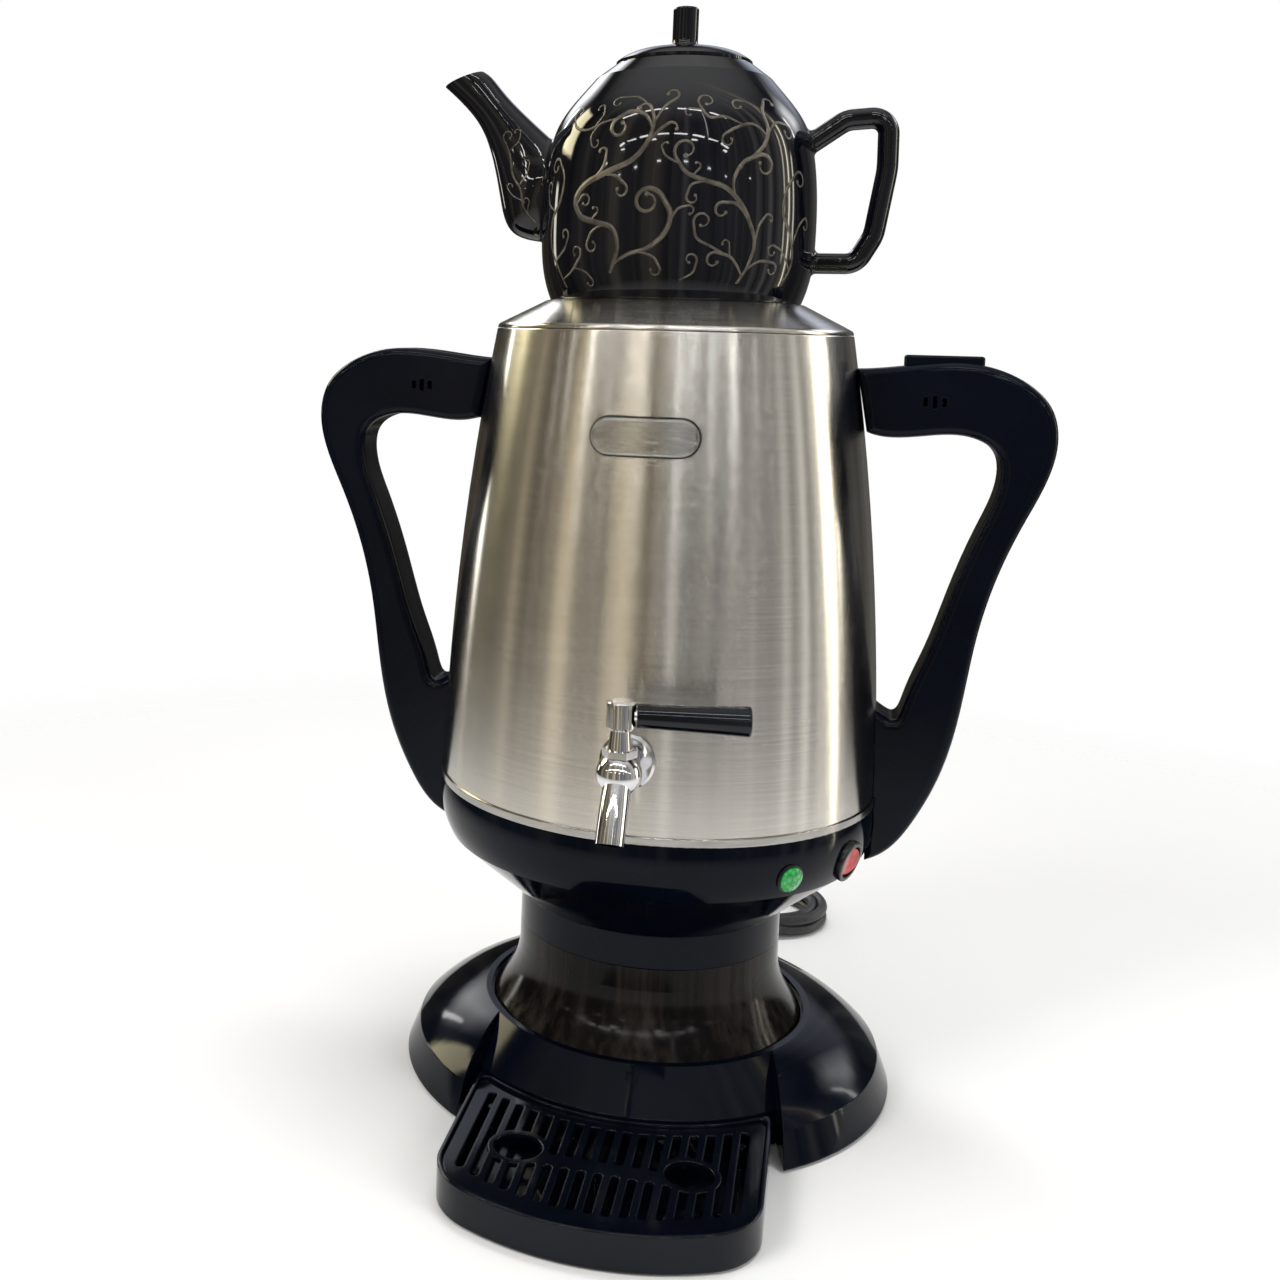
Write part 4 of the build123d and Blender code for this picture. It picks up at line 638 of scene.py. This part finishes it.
def layOnSkin(name, paths, closed, values):
    # every step of a path: a ray's start and direction, half a width and a crest, in metres
    mesh = bpy.data.meshes.new(name + "Path")
    steps = [step for path in paths for step in path]
    edges = []
    first = 0
    for path in paths:
        last = first + len(path) - 1
        edges += [(i, i + 1) for i in range(first, last)]
        if closed:
            edges.append((last, first))
        first = last + 1
    mesh.from_pydata([step[0] for step in steps], edges, [])
    aims = mesh.attributes.new("aim", "FLOAT_VECTOR", "POINT")
    aims.data.foreach_set("vector", [part for step in steps for part in step[1]])
    for key, at in (("half", 2), ("crest", 3)):
        mesh.attributes.new(key, "FLOAT", "POINT").data.foreach_set("value", [step[at] for step in steps])
    piece = bpy.data.objects.new(name, mesh)
    bpy.context.scene.collection.objects.link(piece)
    modifier = piece.modifiers.new("laying", "NODES")
    modifier.node_group = laying
    for socket in laying.interface.items_tree:
        if socket.in_out == "INPUT" and socket.name in values:
            modifier[socket.identifier] = values[socket.name]
    plain = bpy.data.meshes.new_from_object(piece.evaluated_get(bpy.context.evaluated_depsgraph_get()))
    piece.modifiers.clear()
    piece.data = plain
    plain.name = name
    for key in [attribute.name for attribute in plain.attributes]:
        if key in ("aim", "half", "crest", "outward", "rise"):
            plain.attributes.remove(plain.attributes[key])
    return piece


def makeVines():
    # the same planting on the front and the back, with a few curls on the spout's flanks; every crest
    # is a little lower than the last one, so that crossing prints don't flicker
    ridge = {"Sides": 4, "Roundness": 0.0, "Edge": 0.00002, "Keel": 0.00032}
    crest, wallDrop, flankDrop = 0.00007, 0.000001, 0.000003
    radiusAt, wall, flank = potWall()
    paths = []
    for turn in (0, 180):
        grown = {}
        for i, (name, vine) in enumerate(vines.items()):
            grown[name] = growVine(vine, grown, radiusAt)
            paths.append([(*wall(angle + turn, height), width / 2000, crest - wallDrop * i)
                          for angle, height, width in grown[name]])
    for side in (-1, 1):
        grown = {}
        for i, (name, vine) in enumerate(spoutVines.items()):
            # one unit sideways is one millimetre here
            grown[name] = growVine(vine, grown, lambda height: math.degrees(1))
            paths.append([(*flank(side, out, height), width / 2000, crest - flankDrop * i)
                          for out, height, width in grown[name]])
    scrolls = layOnSkin("potScrolls", paths, False, {"Skin": nodes["teapot"], "Finish": vinePrint, **ridge})
    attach(scrolls, "pot")
    print("scrolls laid:", len(scrolls.data.polygons), "faces")


makeVines()

# the badge's raised rim, and a dark bead round it that is painted shadow where the badge meets the jacket
badgeRings = {
    # a black bead laid on the jacket as painted shadow round the badge
    "badgeSeat": {"on": "tank_shell", "out": 0.0003, "bead": 0.0006, "lift": 0.0, "finish": trimBlack,
                  "slot": "black_shell"},
    "badgeRim": {"on": "badge", "out": -0.0008, "bead": 0.00055, "lift": -0.0002, "finish": bandSteel,
                 "slot": "bright"},
}


def makeBadgeRing(name, ring):
    # a bead round the badge's outline: two half circles joined by straights
    count = {"bend": 16, "straight": 16, "sides": 10}
    low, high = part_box("badge")
    middleX, middleZ = (low[0] + high[0]) / 2, (low[2] + high[2]) / 2
    turnRadius = (high[2] - low[2]) / 2
    straight = (high[0] - low[0]) / 2 - turnRadius
    reach = turnRadius + ring["out"]
    places = []
    for side in (1, -1):
        for i in range(count["bend"] + 1):
            turn = math.pi * (i / count["bend"] - 0.5)
            places.append((side * (straight + math.cos(turn) * reach), side * math.sin(turn) * reach))
        places += [(side * straight * (1 - 2 * i / count["straight"]), side * reach)
                   for i in range(1, count["straight"])]
    path = [(Vector((middleX + x, -0.3, middleZ + z)), Vector((0, 1, 0)), ring["bead"], ring["lift"])
            for x, z in places]
    values = {"Skin": nodes[ring["on"]], "Finish": ring["finish"], "Sides": count["sides"],
              "Roundness": 1.0, "Edge": ring["lift"], "Keel": 0.0}
    bead = layOnSkin(name, [path], True, values)
    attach(bead, "stand")


for name, ring in badgeRings.items():
    makeBadgeRing(name, ring)
print("badge rings laid")


def makeCamera():
    view = {"place": (0.08877, -0.78521, 0.38941), "swing": 14.884, "tilt": 6.32, "lean": 1.45,
            "lens": 41.80, "sensor": 36.0, "shift": (0.1509, -0.1099), "clip": (0.01, 20)}
    data = bpy.data.cameras.new("camera")
    data.sensor_width = view["sensor"]
    data.lens = view["lens"]
    data.shift_x, data.shift_y = view["shift"]
    data.clip_start, data.clip_end = view["clip"]
    camera = bpy.data.objects.new("camera", data)
    bpy.context.scene.collection.objects.link(camera)
    swing = Matrix.Rotation(math.radians(view["swing"]), 4, "Z")
    tilt = Matrix.Rotation(math.radians(90 - view["tilt"]), 4, "X")
    lean = Matrix.Rotation(math.radians(view["lean"]), 4, "Z")
    camera.matrix_world = Matrix.Translation(view["place"]) @ swing @ tilt @ lean
    bpy.context.scene.camera = camera


lamps = {
    "keyLight": {"at": (-1.1, -1.3, 1.5), "size": (0.9, 0.9), "power": 24, "colour": (1, 0.98, 0.95)},
    "fillLight": {"at": (1.4, -0.9, 0.9), "size": (0.6, 1.2), "power": 11, "colour": (0.96, 0.98, 1)},
    "topLight": {"at": (0.1, 0.3, 1.8), "size": (1.0, 0.5), "power": 16, "colour": (1, 1, 1)},
}


def areaLight(name, look):
    aim = Vector((0, 0, 0.3))
    data = bpy.data.lights.new(name, "AREA")
    data.shape = "RECTANGLE"
    data.size, data.size_y = look["size"]
    data.energy = look["power"]
    data.color = look["colour"]
    lamp = bpy.data.objects.new(name, data)
    bpy.context.scene.collection.objects.link(lamp)
    lamp.location = look["at"]
    lamp.rotation_euler = (aim - Vector(look["at"])).to_track_quat("-Z", "Y").to_euler()
    lamp.visible_glossy = False    # the room gives the highlights


# the room that reflections see: directions in degrees round the object from its front, rises as the
# ray's Z, levels and glows as strengths
room = {
    "fill": 0.42, "fillColour": (1, 0.985, 0.96, 1), "eye": 1.0,
    # direction and level
    "walls": ((-180, 0.04), (-96, 0.05), (-88, 0.13), (0, 0.19), (66, 0.24), (98, 0.42), (122, 0.05),
              (180, 0.12)),
    # direction, half width and glow
    "strips": ((-82, 4, 0.16), (-49, 10, 0.42), (-15, 11, 0.34), (12, 4, 0.34), (54, 4, 0.20),
               (75, 5, 0.30), (88, 4, 0.32), (108, 6, 1.35)),
    "warmth": {"upTo": 5, "above": 0.7, "warm": 0.20, "cool": 0.04},
    "folds": {"scale": 9, "detail": 3, "rough": 0.6, "range": (0.55, 1.55), "from": (0.32, 0.68)},
    # panels stand in a grid on a level plane overhead, within a band of depth
    "panels": {"pitch": 1.15, "size": (0.075, 0.045), "glow": 22.0, "rise": 0.22, "lowest": 0.05,
               "depth": (-3.4, -0.9)},
    # depth, half breadth and half length
    "tubes": ((1.5, 0.035, 1.7), (0.53, 0.02, 0.9)),
    "tubePieces": {"perUnit": 2.2, "lit": 0.72},
    # windows and lit aisles: direction, half width, lowest and highest rise, softness, glow and how warm
    "windows": ((-112, 9, 0.26, 0.62, 0.2, 8.0, 0.35), (-118, 2.2, -0.08, 0.16, 0.2, 5.0, 0.1),
                (-148, 10, 0.32, 0.62, 0.9, 4.0, 0.0), (-136, 1.5, 0.30, 0.50, 0.3, 9.0, 0.0),
                (103, 0.8, -0.10, 0.50, 0.3, 6.0, 0.15), (109, 0.7, -0.35, 0.60, 0.3, 9.0, 0.15),
                (115, 0.9, -0.05, 0.30, 0.3, 6.0, 0.15), (138, 8, 0.36, 0.62, 0.9, 4.0, 0.0),
                (128, 1.0, 0.28, 0.55, 0.3, 9.0, 0.0), (31, 0.5, 0.50, 0.85, 0.5, 7.0, 0.0),
                (180, 40, 0.30, 0.62, 0.95, 0.7, -0.25)),
    "roof": {"colour": (0.9, 0.9, 0.9 * 0.97, 1), "rise": (0.70, 1.0)},
}


def maths(tree, operation, *values):
    # one sum on outputs or plain numbers
    made = node(tree, "Math", operation=operation)
    for socket, value in zip(made.inputs, values):
        if isinstance(value, (int, float)):
            socket.default_value = value
        else:
            link(tree, value, socket)
    return made.outputs[0]


def within(tree, value, half):
    return maths(tree, "LESS_THAN", maths(tree, "ABSOLUTE", value), half)


def wallLevel(angle):
    for (a0, l0), (a1, l1) in zip(room["walls"], room["walls"][1:]):
        if a0 <= angle <= a1:
            return l0 + (l1 - l0) * (angle - a0) / (a1 - a0)


def makeCurtain(tree, around):
    # a ramp that runs once round, from behind by the left, past the camera's side, to behind again
    warmth, folds = room["warmth"], room["folds"]
    stops = [(angle, level) for angle, level in room["walls"]
             if all(abs(angle - centre) > half for centre, half, _ in room["strips"])]
    for centre, half, glow in room["strips"]:
        stops += [(centre - half, wallLevel(centre - half)), (centre, wallLevel(centre) + glow),
                  (centre + half, wallLevel(centre + half))]
    ramp = node(tree, "ValToRGB")
    ramp.color_ramp.interpolation = "EASE"
    while len(ramp.color_ramp.elements) < len(stops):
        ramp.color_ramp.elements.new(0.5)
    for element, (angle, level) in zip(ramp.color_ramp.elements, sorted(stops)):
        warm = warmth["warm"] if angle < warmth["upTo"] or level > warmth["above"] else warmth["cool"]
        element.position = (angle + 180) / 360
        element.color = (level * (1 + warm * 0.7), level, level * (1 - warm * 1.4), 1)
    link(tree, spread(tree, around, 0, 1, -math.pi, math.pi), ramp.inputs["Fac"])
    pattern = noise(tree, None, folds["scale"], folds["detail"], folds["rough"])
    pattern.node.noise_dimensions = "1D"
    link(tree, around, pattern.node.inputs["W"])
    curtain = node(tree, "VectorMath", operation="SCALE")
    link(tree, ramp.outputs["Color"], curtain.inputs[0])
    link(tree, spread(tree, pattern, *folds["range"], *folds["from"]), curtain.inputs["Scale"])
    return curtain.outputs["Vector"]


def makePanels(tree, ray):
    # ceiling panels and tubes on a level plane overhead
    look, pieces = room["panels"], room["tubePieces"]
    lift = maths(tree, "MAXIMUM", ray["Z"], look["lowest"])
    depth = maths(tree, "DIVIDE", ray["Y"], lift)
    across = maths(tree, "DIVIDE", ray["X"], lift)
    furthest, nearest = look["depth"]
    glowing = maths(tree, "MULTIPLY", maths(tree, "LESS_THAN", depth, nearest),
                    maths(tree, "GREATER_THAN", depth, furthest))
    for along, size in zip((across, depth), look["size"]):
        share = maths(tree, "FRACT", maths(tree, "DIVIDE", along, look["pitch"]))
        glowing = maths(tree, "MULTIPLY", glowing, within(tree, maths(tree, "SUBTRACT", share, 0.5), size))
    for at, half, reach in room["tubes"]:
        tube = within(tree, maths(tree, "ADD", depth, at), half)
        tube = maths(tree, "MULTIPLY", tube, within(tree, across, reach))
        share = maths(tree, "FRACT", maths(tree, "MULTIPLY", across, pieces["perUnit"]))
        tube = maths(tree, "MULTIPLY", tube, maths(tree, "LESS_THAN", share, pieces["lit"]))
        glowing = maths(tree, "MAXIMUM", glowing, tube)
    overhead = maths(tree, "GREATER_THAN", ray["Z"], look["rise"])
    return maths(tree, "MULTIPLY", maths(tree, "MULTIPLY", glowing, overhead), look["glow"])


def makeWindow(tree, ray, around, window):
    # a soft-edged upright pane of light
    angle, half, low, high, soft, glow, warm = window
    turned = maths(tree, "WRAP", maths(tree, "SUBTRACT", around, math.radians(angle)), math.pi, -math.pi)
    sides = math.radians(half * (1 - soft)), math.radians(half * (1 + soft))
    pane = spread(tree, maths(tree, "ABSOLUTE", turned), 1, 0, *sides)
    middle, reach = (low + high) / 2, (high - low) / 2
    upright = maths(tree, "ABSOLUTE", maths(tree, "SUBTRACT", ray["Z"], middle))
    ends = reach * (1 - soft * 0.6), reach * (1 + soft * 0.2)
    pane = maths(tree, "MULTIPLY", pane, spread(tree, upright, 1, 0, *ends))
    tinted = node(tree, "VectorMath", operation="SCALE")
    tinted.inputs[0].default_value = (glow * (1 + warm * 0.3), glow, glow * (1 - warm))
    link(tree, pane, tinted.inputs["Scale"])
    return tinted.outputs["Vector"]


def vectorSum(tree, first, second):
    both = node(tree, "VectorMath", operation="ADD")
    link(tree, first, both.inputs[0])
    link(tree, second, both.inputs[1])
    return both.outputs["Vector"]


def mixShaders(tree, factor, first, second):
    mixed = node(tree, "MixShader")
    link(tree, factor, mixed.inputs["Fac"])
    link(tree, first, mixed.inputs[1])
    link(tree, second, mixed.inputs[2])
    return mixed.outputs[0]


def makeWorld():
    # white to the eye; in the reflections a room with bright strips round it and rows of ceiling panels
    world = bpy.data.worlds.new("room")
    bpy.context.scene.world = world
    world.use_nodes = True
    tree = world.node_tree
    tree.nodes.clear()
    coords = node(tree, "TexCoord")
    split = node(tree, "SeparateXYZ")
    link(tree, coords.outputs["Generated"], split.inputs[0])
    ray = split.outputs
    around = maths(tree, "ARCTAN2", ray["X"], maths(tree, "MULTIPLY", ray["Y"], -1))
    curtain = makeCurtain(tree, around)
    lights = makePanels(tree, ray)
    for window in room["windows"]:
        lights = vectorSum(tree, lights, makeWindow(tree, ray, around, window))
    roof = node(tree, "Mix", data_type="RGBA")
    link(tree, spread(tree, ray["Z"], 0, 1, *room["roof"]["rise"]), roof.inputs["Factor"])
    link(tree, curtain, roof.inputs["A"])
    roof.inputs["B"].default_value = room["roof"]["colour"]
    lit = node(tree, "Mix", data_type="RGBA", blend_type="ADD", Factor=1)
    link(tree, roof.outputs["Result"], lit.inputs["A"])
    link(tree, lights, lit.inputs["B"])

    shine = node(tree, "Background", Strength=1.0)
    link(tree, lit.outputs["Result"], shine.inputs["Color"])
    fill = node(tree, "Background", Strength=room["fill"], Color=room["fillColour"])
    eye = node(tree, "Background", Strength=room["eye"], Color=(1, 1, 1, 1))
    path = node(tree, "LightPath")
    out = node(tree, "OutputWorld")
    indirect = mixShaders(tree, path.outputs["Is Glossy Ray"], fill.outputs[0], shine.outputs[0])
    seen = mixShaders(tree, path.outputs["Is Camera Ray"], indirect, eye.outputs[0])
    link(tree, seen, out.inputs["Surface"])


def makeFloor():
    ground = {"radius": 1.6, "sides": 96, "level": -0.0004, "clear": (0.45, 0.95), "rough": 0.9,
              "gleam": 0.1, "colour": (0.93, 0.93, 0.925), "shade": 0.99, "grain": 3}
    mesh = bpy.data.meshes.new("floor")
    bm = bmesh.new()
    bmesh.ops.create_circle(bm, cap_ends=True, radius=ground["radius"], segments=ground["sides"])
    bmesh.ops.translate(bm, verts=bm.verts, vec=(0, 0, ground["level"]))
    bm.to_mesh(mesh)
    bm.free()
    floor = bpy.data.objects.new("floor", mesh)
    bpy.context.scene.collection.objects.link(floor)
    mat, tree, shader = newMaterial("paleFloor")
    grain = noise(tree, place(tree), ground["grain"], detail=2, rough=0.5)
    pale = ground["colour"]
    paint(tree, shader, grain, pale, tuple(c * ground["shade"] for c in pale))
    shader.inputs["Roughness"].default_value = ground["rough"]
    shader.inputs["Specular IOR Level"].default_value = ground["gleam"]
    # the floor fades out before its edge
    coords = node(tree, "TexCoord")
    reach = node(tree, "VectorMath", operation="LENGTH")
    link(tree, coords.outputs["Object"], reach.inputs[0])
    fade = spread(tree, reach.outputs["Value"], 1, 0, *ground["clear"])
    link(tree, fade, shader.inputs["Alpha"])
    mesh.materials.append(mat)


makeCamera()
makeWorld()
makeFloor()
for name, look in lamps.items():
    areaLight(name, look)
print("camera, lights and floor made")

# the cord's route in millimetres: it leaves the gland at the back, drops, lies in a coil and ends in a tail
route = {
    "lead": [(0, 141.02, 135.5), (-1, 160, 134), (-5, 177.5, 125), (-11, 190, 109), (-17, 194, 89),
             (-22, 193, 69), (-24, 190, 49), (-20.5, 187, 30.5), (-9, 184.5, 13.5), (9, 183.6, 4.6),
             (29, 184.6, 3.6), (44, 185, 3.4)],
    "tail": [(48, 259, 3.4), (30, 259.5, 5.2), (13, 261.5, 11.0), (-5, 264, 18.6), (-24, 264, 18.6)],
    "centre": (52, 222), "inner": 33.6, "outer": 40.5, "low": 3.4, "high": 10.2, "perTurn": 16,
    "turns": 3.5,
}


def flexPoints():
    # the same route as the solid's, with the coil's turns lying beside and on each other
    inner, outer, low, high = route["inner"], route["outer"], route["low"], route["high"]
    # where the turns change track: degrees since the lead came in, radius and height
    tracks = [(0, 37, low), (40, inner, low), (150, 32.6, low), (210, inner, low), (330, inner, low),
              (360, inner, high), (690, inner, high), (760, outer, high), (960, outer, high),
              (1070, outer, high), (1120, outer, low), (1230, outer, low), (1252, 38.5, low)]
    middleX, middleY = route["centre"]
    turns = []
    for i in range(1, int(route["turns"] * route["perTurn"])):
        gone = i * 360 / route["perTurn"]
        for (a0, r0, z0), (a1, r1, z1) in zip(tracks, tracks[1:]):
            if a0 <= gone <= a1:
                share = (gone - a0) / (a1 - a0)
                share = share * share * (3 - 2 * share)
                radius, height = r0 + (r1 - r0) * share, z0 + (z1 - z0) * share
        angle = math.radians(gone - 90)
        turns.append((middleX + radius * math.cos(angle), middleY + radius * math.sin(angle), height))
    return route["lead"] + turns + route["tail"]


def makeCord():
    flex = {"width": 6.6, "length": 1.10, "order": 3, "steps": 6, "roundness": 5}
    points = flexPoints()
    data = bpy.data.curves.new("powerFlex", "CURVE")
    data.dimensions = "3D"
    spline = data.splines.new("NURBS")
    spline.points.add(len(points) - 1)
    for point, (x, y, z) in zip(spline.points, points):
        point.co = (x / 1000, y / 1000, z / 1000, 1)
    spline.order_u = flex["order"]
    spline.use_endpoint_u = True
    spline.resolution_u = flex["steps"]
    data.bevel_depth = flex["width"] / 2000
    data.bevel_resolution = flex["roundness"]
    data.use_fill_caps = True
    cord = bpy.data.objects.new("powerFlex", data)
    bpy.context.scene.collection.objects.link(cord)
    data.materials.append(cordBlack)
    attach(cord, "stand")
    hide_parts("power_cord", "cord_coil", "cord_tail")


makeCord()
print("cord laid")
